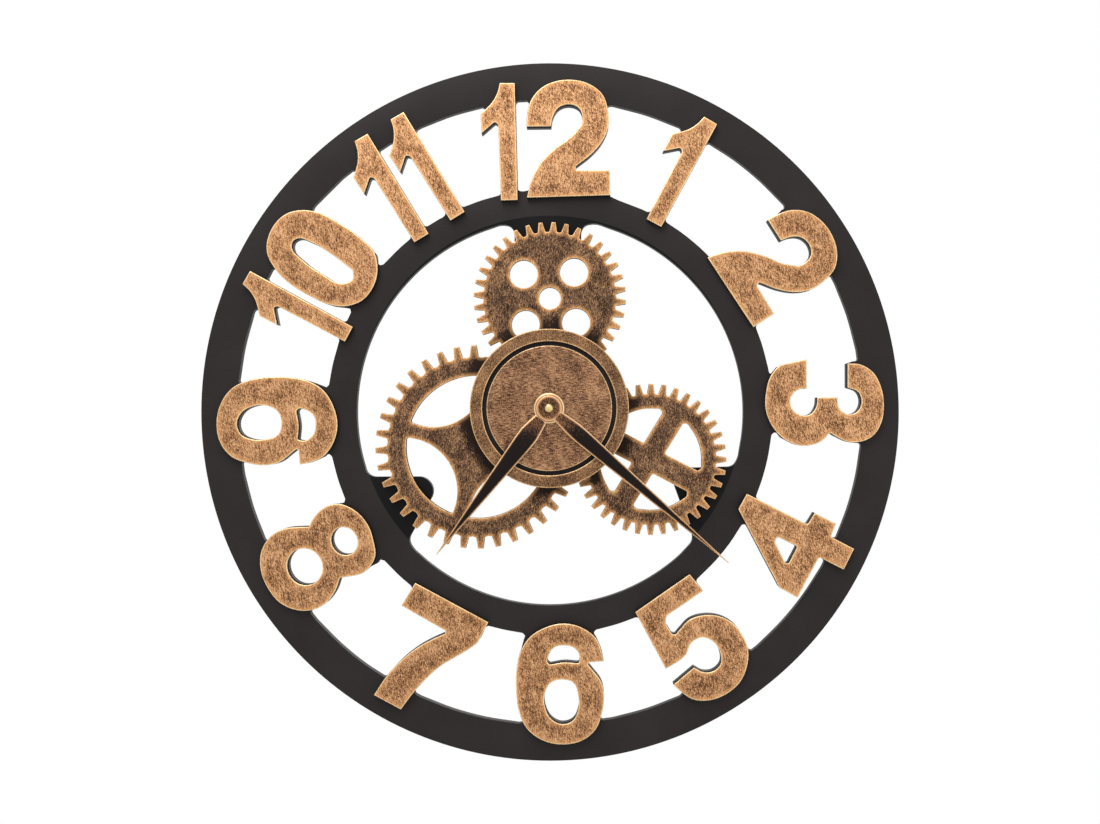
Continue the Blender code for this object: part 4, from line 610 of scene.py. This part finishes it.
# Across a hand's blade: places as shares of its half width, and its height there as a share of its thickness.
# The last two are its back.
BLADE_ACROSS = np.array([-1.0, -0.96, -0.8, -0.62, -0.5, -0.25, 0.0, 0.25, 0.5, 0.62, 0.8, 0.96, 1.0,
                         0.94, -0.94])
BLADE_RISE = np.array([0.42, 0.52, 0.8, 0.94, 0.97, 0.99, 1.0, 0.99, 0.97, 0.94, 0.8, 0.52, 0.42, 0.0, 0.0])
BLADE_ROWS = (12, 40)  # below and above the shoulder
BLADE_ROOT = 0.8  # where a blade begins inside its hub, as a share of the hub's radius
BLADE_TIP = 0.6 * MM
BLADE_THICK = 0.96  # a blade's thickness as a share of the hub's
BLADE_SET_BACK = 0.03  # how far it lies behind the hub's front, in the same share
WAIST = 0.35 * MM  # how far a blade's sides are drawn in at the shoulder
WAIST_LENGTH = 5 * MM


def bounds_of(loop):
    """Lowest x and z and highest x and z of an outline."""
    return np.concatenate([loop.min(axis=0), loop.max(axis=0)])


def field_inside(loops):
    """Points in even rows, offset from row to row, inside the area between closed outlines."""
    low, high = np.vstack(loops).min(axis=0), np.vstack(loops).max(axis=0)
    x, z = np.meshgrid(np.arange(low[0], high[0], FIELD), np.arange(low[1], high[1], FIELD_ROWS * FIELD))
    x = x + 0.5 * FIELD * (np.arange(len(x)) % 2)[:, None]
    places = np.column_stack([x.ravel(), z.ravel()])
    places = places[inside(places, loops)]
    return places[distance_in(places, loops) > FIELD_MARGIN * FIELD]


def plate(node, materials, rounding, border=None):
    """A cut plate in place of its CAD node. A profile is carried along each outline that goes right through:
    up the side, round the front edge as a quarter circle, and in over the front by the border if there is
    one. Then points inside the front hold their distance from the edge too. Faces between front and back,
    such as pockets and blind holes, are the CAD node's own."""
    points, faces = triangles_of(node)
    front, back = points[:, 1].min(), points[:, 1].max()
    back_loops = [loop[::-1] for loop in outlines(points, faces, back)]
    quarter = np.linspace(0, math.pi / 2, ROUND_STEPS + 1)
    broken = BACK_CHAMFER * rounding
    profile = [(broken, back, BACK), (0.0, back - broken, SIDE), (0.0, front + rounding * SIDE_END, SIDE)]
    profile += [(rounding * (1 - math.cos(a)), front + rounding * (1 - math.sin(a)), 0.0) for a in quarter]
    if border:
        profile += [(share * border, front, share * border / MM) for share in BORDER_ROWS]
    inset, depth, value = np.array(profile).T
    parts, lines, front_caps, back_caps = [], [], [], []
    for loop in outlines(points, faces, front):
        through = [k for k, other in enumerate(back_loops)
                   if np.allclose(bounds_of(loop), bounds_of(other), atol=2 * SAME_POINT)]
        if not through:
            front_caps.append(loop)
            continue
        back_loops.pop(through[0])
        line = smoothed(eased_inside(tidied(loop), INNER_ROUNDING.get(node, USUAL_ROUNDING)))
        way = inset_way(line)
        rows = line[:, None, :] + way[:, None, :] * inset[None, :, None]
        skin = np.column_stack([rows[:, :, 0].ravel(), np.tile(depth, len(line)), rows[:, :, 1].ravel()])
        parts.append((skin, grid_faces(len(line), len(profile), True, False), np.tile(value, len(line))))
        lines.append(line)
        front_caps.append(rows[:, -1])
        back_caps.append(rows[:, 0])
    cap, cap_faces = flat_cap(front_caps, front, True, field_inside(front_caps) if border else None)
    parts.append((cap, cap_faces, distance_in(cap[:, [0, 2]], lines) / MM if border else 0.0))
    parts.append((*flat_cap(back_caps + back_loops, back, False), BACK))
    depths = points[faces][:, :, 1]
    between = ((depths > front + SAME_POINT) & (depths < back - SAME_POINT)).any(axis=1)
    if between.any():
        used, where = np.unique(faces[between], return_inverse=True)
        parts.append((points[used], where.reshape(-1, 3), SIDE))
    mesh_piece(node + "_plate", parts, materials, "frame", node)


def turned_shell(profile):
    """A profile of radius, depth and distance from the edge carried round the dial's axis: x is the axis's
    plus radius times cosine, z the axis's plus radius times sine, and y is the depth."""
    radius, depth, value = np.array(profile).T
    angle = np.arange(HUB_SIDES) * math.tau / HUB_SIDES
    x = HUB[0] + radius[:, None] * np.cos(angle)
    z = HUB[2] + radius[:, None] * np.sin(angle)
    y = np.broadcast_to(depth[:, None], x.shape)
    points = np.stack([x, y, z], axis=-1).reshape(-1, 3)
    return points, grid_faces(len(profile), HUB_SIDES, False, True), np.repeat(value, HUB_SIDES)


def hand_blade(length, root, neck, shoulder, shoulder_at, thick, front):
    """A pressed hand blade that points to twelve from the origin. Along it the half width runs in straight
    lines from neck to shoulder and on to the tip, less the waist times e to the minus square of the distance
    from the shoulder over the waist's length. Across it x is the half width times the place, and y is the
    front plus the thickness times one minus the rise: flat in the middle and falling to thin edges like a
    shallow arch."""
    below, above = BLADE_ROWS
    along = np.concatenate([np.linspace(root, shoulder_at, below),
                            np.linspace(shoulder_at, length, above)[1:]])
    half = np.interp(along, [root, shoulder_at, length], [neck / 2, shoulder / 2, BLADE_TIP / 2])
    half -= WAIST * np.exp(-((along - shoulder_at) / WAIST_LENGTH) ** 2)
    value = half[:, None] * (1 - np.abs(BLADE_ACROSS))[None, :] / MM
    value[:, BLADE_RISE == 0.0] = SIDE
    x = half[:, None] * BLADE_ACROSS[None, :]
    y = front + thick * (1 - np.broadcast_to(BLADE_RISE, x.shape))
    z = np.broadcast_to(along[:, None], x.shape)
    points = np.stack([x, y, z], axis=-1).reshape(-1, 3)
    around = np.arange(BLADE_ACROSS.size)
    ends = np.array([around[::-1], around + (len(along) - 1) * around.size])
    return points, [grid_faces(len(along), around.size, False, True), ends], value.ravel()


def clockwise(points, angle):
    """Points turned clockwise about the origin, as seen from the front, and moved to the dial's axis."""
    c, s = math.cos(angle), math.sin(angle)
    x, z = points[:, 0] * c + points[:, 2] * s, points[:, 2] * c - points[:, 0] * s
    return np.column_stack([x + HUB[0], points[:, 1], z + HUB[2]])


def hand(body, clock, radius, length, neck, shoulder, shoulder_at, materials):
    """A pressed hand in place of its CAD node: the blade and a dished hub with a raised rim, rubbed bright
    and with a painted highlight along it.
    """
    node = body + "_hand"
    low, high = span(node)
    front, thick = low[1], high[1] - low[1]
    bore, (floor, floor_value) = HUB_BORE[body], DISH_FLOOR
    bore_end = (bore, front + thick, SIDE)
    dish = [(share * radius, front + depth * thick, value) for share, depth, value in HUB_DISH]
    hub = [bore_end, (bore, front + floor * thick, floor_value), *dish, bore_end]
    points, faces, value = hand_blade(length, BLADE_ROOT * radius, neck, shoulder, shoulder_at,
                                      BLADE_THICK * thick, front + BLADE_SET_BACK * thick)
    parts = [turned_shell(hub), (clockwise(points, clock), faces, value)]
    mesh_piece(node + "_pressed", parts, materials, body, node)


def softened(node, material, width, body="frame"):
    """A copy of a CAD node with its doubled points merged and its sharp edges broken by a small rounding."""
    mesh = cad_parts[node].data.copy()
    mesh.materials.clear()
    work = bmesh.new()
    work.from_mesh(mesh)
    bmesh.ops.remove_doubles(work, verts=work.verts, dist=SAME_POINT)
    bmesh.ops.dissolve_limit(work, angle_limit=FLAT, verts=work.verts, edges=work.edges)
    work.to_mesh(mesh)
    work.free()
    mesh.materials.append(material)
    rounding = ridden(node + "_finished", mesh, body, node).modifiers.new("broken_edges", "BEVEL")
    rounding.width = width
    rounding.segments = 2
    rounding.limit_method = "ANGLE"
    rounding.angle_limit = CORNER
    rounding.harden_normals = True


def paint_node(node, material):
    """Gives a CAD node that stays its material."""
    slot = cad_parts[node].material_slots[0]
    slot.link = "OBJECT"
    slot.material = material


# What a user would change


def user_length(name, description, default, low, high):
    """A length that a user can set between two limits."""
    return FloatProperty(name=name, description=description, default=default, min=low, max=high,
                         unit="LENGTH", precision=5)


class ClockSizes(bpy.types.PropertyGroup):
    plate_rounding: user_length("Numeral edge rounding", "Radius of the numerals' front edges",
                                0.7 * MM, 0.1 * MM, 1.5 * MM)
    gear_rounding: user_length("Gear edge rounding", "Radius of the gears' front edges",
                               0.45 * MM, 0.1 * MM, 0.6 * MM)
    frame_rounding: user_length("Frame edge rounding", "Radius of the frame's front edges",
                                0.5 * MM, 0.1 * MM, 1.5 * MM)
    border: user_length("Plate border", "Width of the strip along an edge that follows its form",
                        1.3 * MM, 0.8 * MM, 1.5 * MM)
    streak: user_length("Scratch length", "Length of the rubbed scratches", 2.4 * MM, 1 * MM, 30 * MM)
    hour_clock: FloatProperty(name="Hour hand", description="Where the hour hand points at rest",
                              default=math.radians(217.6), subtype="ANGLE")
    minute_clock: FloatProperty(name="Minute hand", description="Where the minute hand points at rest",
                                default=math.radians(130.7), subtype="ANGLE")
    lamp_power: FloatProperty(name="Lamp", description="Power of the large soft lamp", default=12.5, min=0.0,
                              unit="POWER")
    camera_distance: FloatProperty(name="Camera distance", description="From the camera to the frame's front",
                                   default=1.0997, min=0.3, unit="LENGTH")


class ClockColours(bpy.types.PropertyGroup):
    floor: FloatVectorProperty(name="Floor", description="Colour of the pale floor", subtype="COLOR", size=4,
                               default=linear("#EDEBE8"), min=0.0, max=1.0)


# Operators


FLOOR_RADIUS = 0.8
FLOOR_BELOW = 0.36  # from the clock's lowest point down to the floor
FLOOR_SIDES = 64
LIT, MIRRORED = 0.6, 1.0  # strength of the white surroundings on matt things, and where seen or mirrored

# The soft lamps: name, place from the clock's middle, size, and power as a share of the lamp setting
LAMPS = (("key", (-0.3, -0.85, 1.1), 0.9, 1.0),
         ("fill", (1.1, -1.2, 0.2), 1.4, 0.18),
         ("behind", (0.5, 1.3, 0.7), 1.2, 0.45))
LENS, SENSOR = 43.3, 36.0  # millimetres
CAMERA_X = 0.0334
SHIFT = -40.2 / 1100  # sideways, as a share of the picture's width
CLIP_START, CLIP_END = 0.05, 20.0


def settings():
    """The clock's sizes and its colours, as the user has them."""
    return bpy.context.scene.clock_sizes, bpy.context.scene.clock_colours


class CLOCK_OT_frame(bpy.types.Operator):
    """Rebuilds the black frame plate and the hub's backplate"""
    bl_idname = "clock.frame"
    bl_label = "Frame"

    def execute(self, context):
        sizes, _ = settings()
        # the dial's coat is painted a deeper black near the axis: painted shade of the gears on the tabs
        dial_paint = black_paint("satin_black_powder_coat_dial_painted_shade", TAB_SHADE)
        plate("dial_frame", [dial_paint] + 2 * [black_paint()], sizes.frame_rounding)
        plate("hub_backplate", 3 * [black_paint()], sizes.frame_rounding)
        return {"FINISHED"}


class CLOCK_OT_numerals(bpy.types.Operator):
    """Rebuilds the fifteen raised numeral pieces in rubbed bronze"""
    bl_idname = "clock.numerals"
    bl_label = "Numerals"

    def execute(self, context):
        sizes, _ = settings()
        bronze = antique_bronze(
            "rubbed_bronze_numerals", ("#553A27", "#B07D52", "#E6B486", "#DA9E64", "#FAE0B2"), turn=8,
            streak=1.15 * sizes.streak, patina=1.2, lift=0.57, contrast=1.5, hollow=(0.12, 5.0))
        for node in NUMERALS:
            plate(node, with_dark_sides(bronze), sizes.plate_rounding, sizes.border)
        return {"FINISHED"}


class CLOCK_OT_gears(bpy.types.Operator):
    """Rebuilds the three decorative gears in darker rubbed bronze, with the hub's shadow painted on them"""
    bl_idname = "clock.gears"
    bl_label = "Gears"

    def execute(self, context):
        sizes, _ = settings()
        # the ring darkens the gears next to the hub disc: a painted shadow of the hub
        bronze = antique_bronze(
            "rubbed_bronze_gears_painted_hub_shadow", ("#281C16", "#6E503A", "#BE936A", "#E0A468", "#F4CC9C"), turn=-14,
            streak=sizes.streak, patina=1.2, lift=0.38, contrast=1.3, band=3.8,
            rings=[(67.5 * MM, 78 * MM, -0.8, 0.0)])
        for node in GEARS:
            plate(node, with_dark_sides(bronze), sizes.gear_rounding, border=0.8 * MM)
        return {"FINISHED"}


class CLOCK_OT_hub(bpy.types.Operator):
    """Rebuilds the hub's ring and its horizontally brushed disc"""
    bl_idname = "clock.hub"
    bl_label = "Hub"

    def execute(self, context):
        sizes, _ = settings()
        ring = antique_bronze(
            "rubbed_bronze_hub_ring", ("#32231A", "#7C593D", "#BA8F64", "#B08052", "#F2CC9C"), turn=30,
            streak=sizes.streak, patina=1.3, lift=0.45, contrast=1.5, band=1.8)
        disc = antique_bronze(
            "brushed_bronze_hub_disc", ("#35251C", "#80593F", "#C4966E", "#9C704C", "#EEC89A"), turn=86,
            streak=2.2 * sizes.streak, patina=1.5, lift=0.53, contrast=1.7, spread=6, band=1.4)
        plate("hub_ring", with_dark_sides(ring), rounding=0.6 * MM, border=0.9 * MM)
        plate("hub_disc", with_dark_sides(disc), rounding=0.6 * MM, border=0.9 * MM)
        return {"FINISHED"}


class CLOCK_OT_hands(bpy.types.Operator):
    """Presses the two hands, dark along the middle and bright along the edges: partly wear, partly a painted
    highlight
    """
    bl_idname = "clock.hands"
    bl_label = "Hands"

    def execute(self, context):
        sizes, _ = settings()
        bronze = antique_bronze(
            "rubbed_bronze_hands", ("#1C1614", "#6E4C36", "#B48258", "#B88050", "#FFDCAC"), turn=20,
            streak=sizes.streak, patina=0.8, lift=0.56, band=1.7, hollow=(1.1, 1.9),
            rings=[(14 * MM, 44 * MM, 0.85, 0.0)])
        materials = with_dark_sides(bronze)
        hand("hour", sizes.hour_clock, 12.6 * MM, 150 * MM, neck=10.6 * MM, shoulder=16.7 * MM,
             shoulder_at=26.5 * MM, materials=materials)
        hand("minute", sizes.minute_clock, 10.6 * MM, 192 * MM, neck=8.8 * MM, shoulder=13.5 * MM,
             shoulder_at=27.5 * MM, materials=materials)
        return {"FINISHED"}


class CLOCK_OT_centre_stack(bpy.types.Operator):
    """Finishes the nuts and the washer at the centre, the pillars, the screws and the hanger plate"""
    bl_idname = "clock.centre_stack"
    bl_label = "Centre stack"

    def execute(self, context):
        brass = drawn_metal("turned_brass", "#CBAA70", "#F0D8A0", rough=0.3, across=0.2 * MM, along=0.2 * MM)
        zinc = drawn_metal("zinc_plated_steel", "#80807B", "#A6A6A1", rough=0.36)
        softened("cap_nut", brass, width=0.35 * MM, body="minute")
        softened("fixing_washer", zinc, width=0.1 * MM)
        softened("fixing_nut", brass, width=0.25 * MM)
        for number in (1, 2, 3):
            softened("hub_pillar_%d" % number, zinc, width=0.2 * MM)
        for gear in GEARS:
            for place in ("first", "second"):
                softened("%s_screw_%s" % (gear, place), zinc, width=0.2 * MM)
        for node in ("hanger_plate", "hanger_screw_left", "hanger_screw_right"):
            softened(node, zinc, width=0.15 * MM)
        return {"FINISHED"}


class CLOCK_OT_movement(bpy.types.Operator):
    """Finishes the battery movement behind the hub"""
    bl_idname = "clock.movement"
    bl_label = "Movement"

    def execute(self, context):
        case = moulded("moulded_black_abs", "#101012", "#17171A", rough=0.5, texture=0.35 * MM)
        knob = moulded("moulded_grey_acetal", "#8E8F90", "#A2A3A4", rough=0.42, texture=0.3 * MM)
        wheels = moulded("moulded_white_acetal", "#D8D6CE", "#E8E6E0", rough=0.38, texture=0.4 * MM)
        softened("movement_case", case, width=0.5 * MM)
        softened("movement_back_cover", case, width=0.3 * MM)
        softened("setting_knob", knob, width=0.25 * MM, body="setting")
        low, high = span("battery")
        cell = sleeved_cell("film_sleeved_battery_cell", "#26292C", "#34383C", "#C8C6C0",
                            centre=(low[0] + high[0]) / 2, half_length=(high[0] - low[0]) / 2)
        paint_node("battery", cell)
        for node in ("hour_wheel", "minute_wheel", "third_wheel", "seconds_wheel", "reduction_wheel",
                     "train_bridge"):
            paint_node(node, wheels)
        brass = drawn_metal("machined_brass_arbor", "#B8974E", "#D9BC78", rough=0.28, across=0.15 * MM,
                            along=2 * MM)
        for node in ("centre_wheel", "minute_arbor"):
            paint_node(node, brass)
        iron = drawn_metal("stamped_soft_iron", "#7E7E7C", "#A3A3A0", rough=0.42)
        for node in ("stator", "coil_core"):
            paint_node(node, iron)
        magnet = drawn_metal("pressed_magnet", "#4B4B4D", "#66666A", rough=0.5, across=0.4 * MM,
                             along=0.4 * MM)
        paint_node("rotor", magnet)
        nickel = drawn_metal("nickel_plated_spring_steel", "#A9A59B", "#D2CEC4", rough=0.24)
        for node in ("battery_contact_minus", "battery_contact_plus", "quartz_crystal"):
            paint_node(node, nickel)
        laminate = banded("glass_cloth_laminate", "#1C5A30", "#2C7442", across=0.6 * MM, metallic=0.0,
                          rough=0.45)
        paint_node("circuit_board", laminate)
        winding = banded("enamelled_copper_winding", "#8A4320", "#C8703C", across=0.3 * MM, metallic=0.85,
                         rough=0.32)
        paint_node("coil", winding)
        return {"FINISHED"}


class CLOCK_OT_stage(bpy.types.Operator):
    """Sets the pale floor, the white surroundings, the soft lamps and the camera"""
    bl_idname = "clock.stage"
    bl_label = "Stage"

    def execute(self, context):
        sizes, colours = settings()
        scene = context.scene
        floor_material, tree = new_material("pale_matt_floor")
        mottle = grain(tree, 40 * MM, 40 * MM)
        surface(tree, {"Base Color": colours.floor, "Roughness": ranged(tree, mottle, 0.75, 0.9)})
        angle = np.arange(FLOOR_SIDES) * math.tau / FLOOR_SIDES
        rim = np.column_stack([FLOOR_RADIUS * np.cos(angle), FLOOR_RADIUS * np.sin(angle),
                               np.full(FLOOR_SIDES, FRAME_LOW[2] - FLOOR_BELOW)])
        mesh = bpy.data.meshes.new("floor")
        mesh.from_pydata(rim.tolist(), [], [list(range(FLOOR_SIDES))])
        mesh.materials.append(floor_material)
        floor = placed("floor", mesh)
        world = bpy.data.worlds.new("white_studio")
        world.use_nodes = True
        sky = world.node_tree
        sky.nodes.clear()
        path = add(sky, "ShaderNodeLightPath").outputs
        seen = maths(sky, "MAXIMUM", path["Is Camera Ray"], path["Is Transmission Ray"])
        mirrored = maths(sky, "MAXIMUM", seen, path["Is Glossy Ray"])
        light = add(sky, "ShaderNodeBackground", {"Color": (1.0, 1.0, 1.0, 1.0),
                                                  "Strength": ranged(sky, mirrored, LIT, MIRRORED)})
        add(sky, "ShaderNodeOutputWorld", {"Surface": light.outputs["Background"]})
        scene.world = world
        middle = Vector((0.0, 0.0, float(FRAME_LOW[2] + FRAME_HIGH[2]) / 2))
        for name, place, size, share in LAMPS:
            lamp = bpy.data.lights.new(name, "AREA")
            lamp.size = size
            lamp.energy = share * sizes.lamp_power
            holder = placed(name, lamp)
            holder.location = Vector(place) + middle
            holder.rotation_euler = (middle - holder.location).to_track_quat("-Z", "Y").to_euler()
        eye = bpy.data.cameras.new("camera")
        eye.lens = LENS
        eye.sensor_width = SENSOR
        eye.shift_x = SHIFT
        eye.clip_start = CLIP_START
        eye.clip_end = CLIP_END
        camera = placed("camera", eye)
        camera.location = (CAMERA_X, float(FRAME_LOW[1]) - sizes.camera_distance, middle.z)
        camera.rotation_euler = (math.pi / 2, 0.0, 0.0)
        scene.camera = camera
        scene.view_settings.view_transform = "Standard"
        return {"FINISHED"}


STEPS = (CLOCK_OT_stage, CLOCK_OT_frame, CLOCK_OT_numerals, CLOCK_OT_gears, CLOCK_OT_hub, CLOCK_OT_hands,
         CLOCK_OT_centre_stack, CLOCK_OT_movement)


class CLOCK_PT_panel(bpy.types.Panel):
    """Lists the steps that dress the clock, with their sizes and colours"""
    bl_idname = "CLOCK_PT_panel"
    bl_label = "Wall clock"
    bl_space_type = "VIEW_3D"
    bl_region_type = "UI"
    bl_category = "Wall clock"

    def draw(self, context):
        for group in settings():
            for name in group.bl_rna.properties.keys():
                if name not in {"rna_type", "name"}:
                    self.layout.prop(group, name)
        for step in STEPS:
            self.layout.operator(step.bl_idname)


CLASSES = (ClockSizes, ClockColours, *STEPS, CLOCK_PT_panel)


def register():
    for kind in CLASSES:
        bpy.utils.register_class(kind)
    bpy.types.Scene.clock_sizes = PointerProperty(type=ClockSizes)
    bpy.types.Scene.clock_colours = PointerProperty(type=ClockColours)


def unregister():
    del bpy.types.Scene.clock_colours
    del bpy.types.Scene.clock_sizes
    for kind in reversed(CLASSES):
        bpy.utils.unregister_class(kind)


def main():
    """Dresses the clock step by step."""
    register()
    for step in STEPS:
        group, name = step.bl_idname.split(".")
        getattr(getattr(bpy.ops, group), name)()


if __name__ == "__main__":
    main()
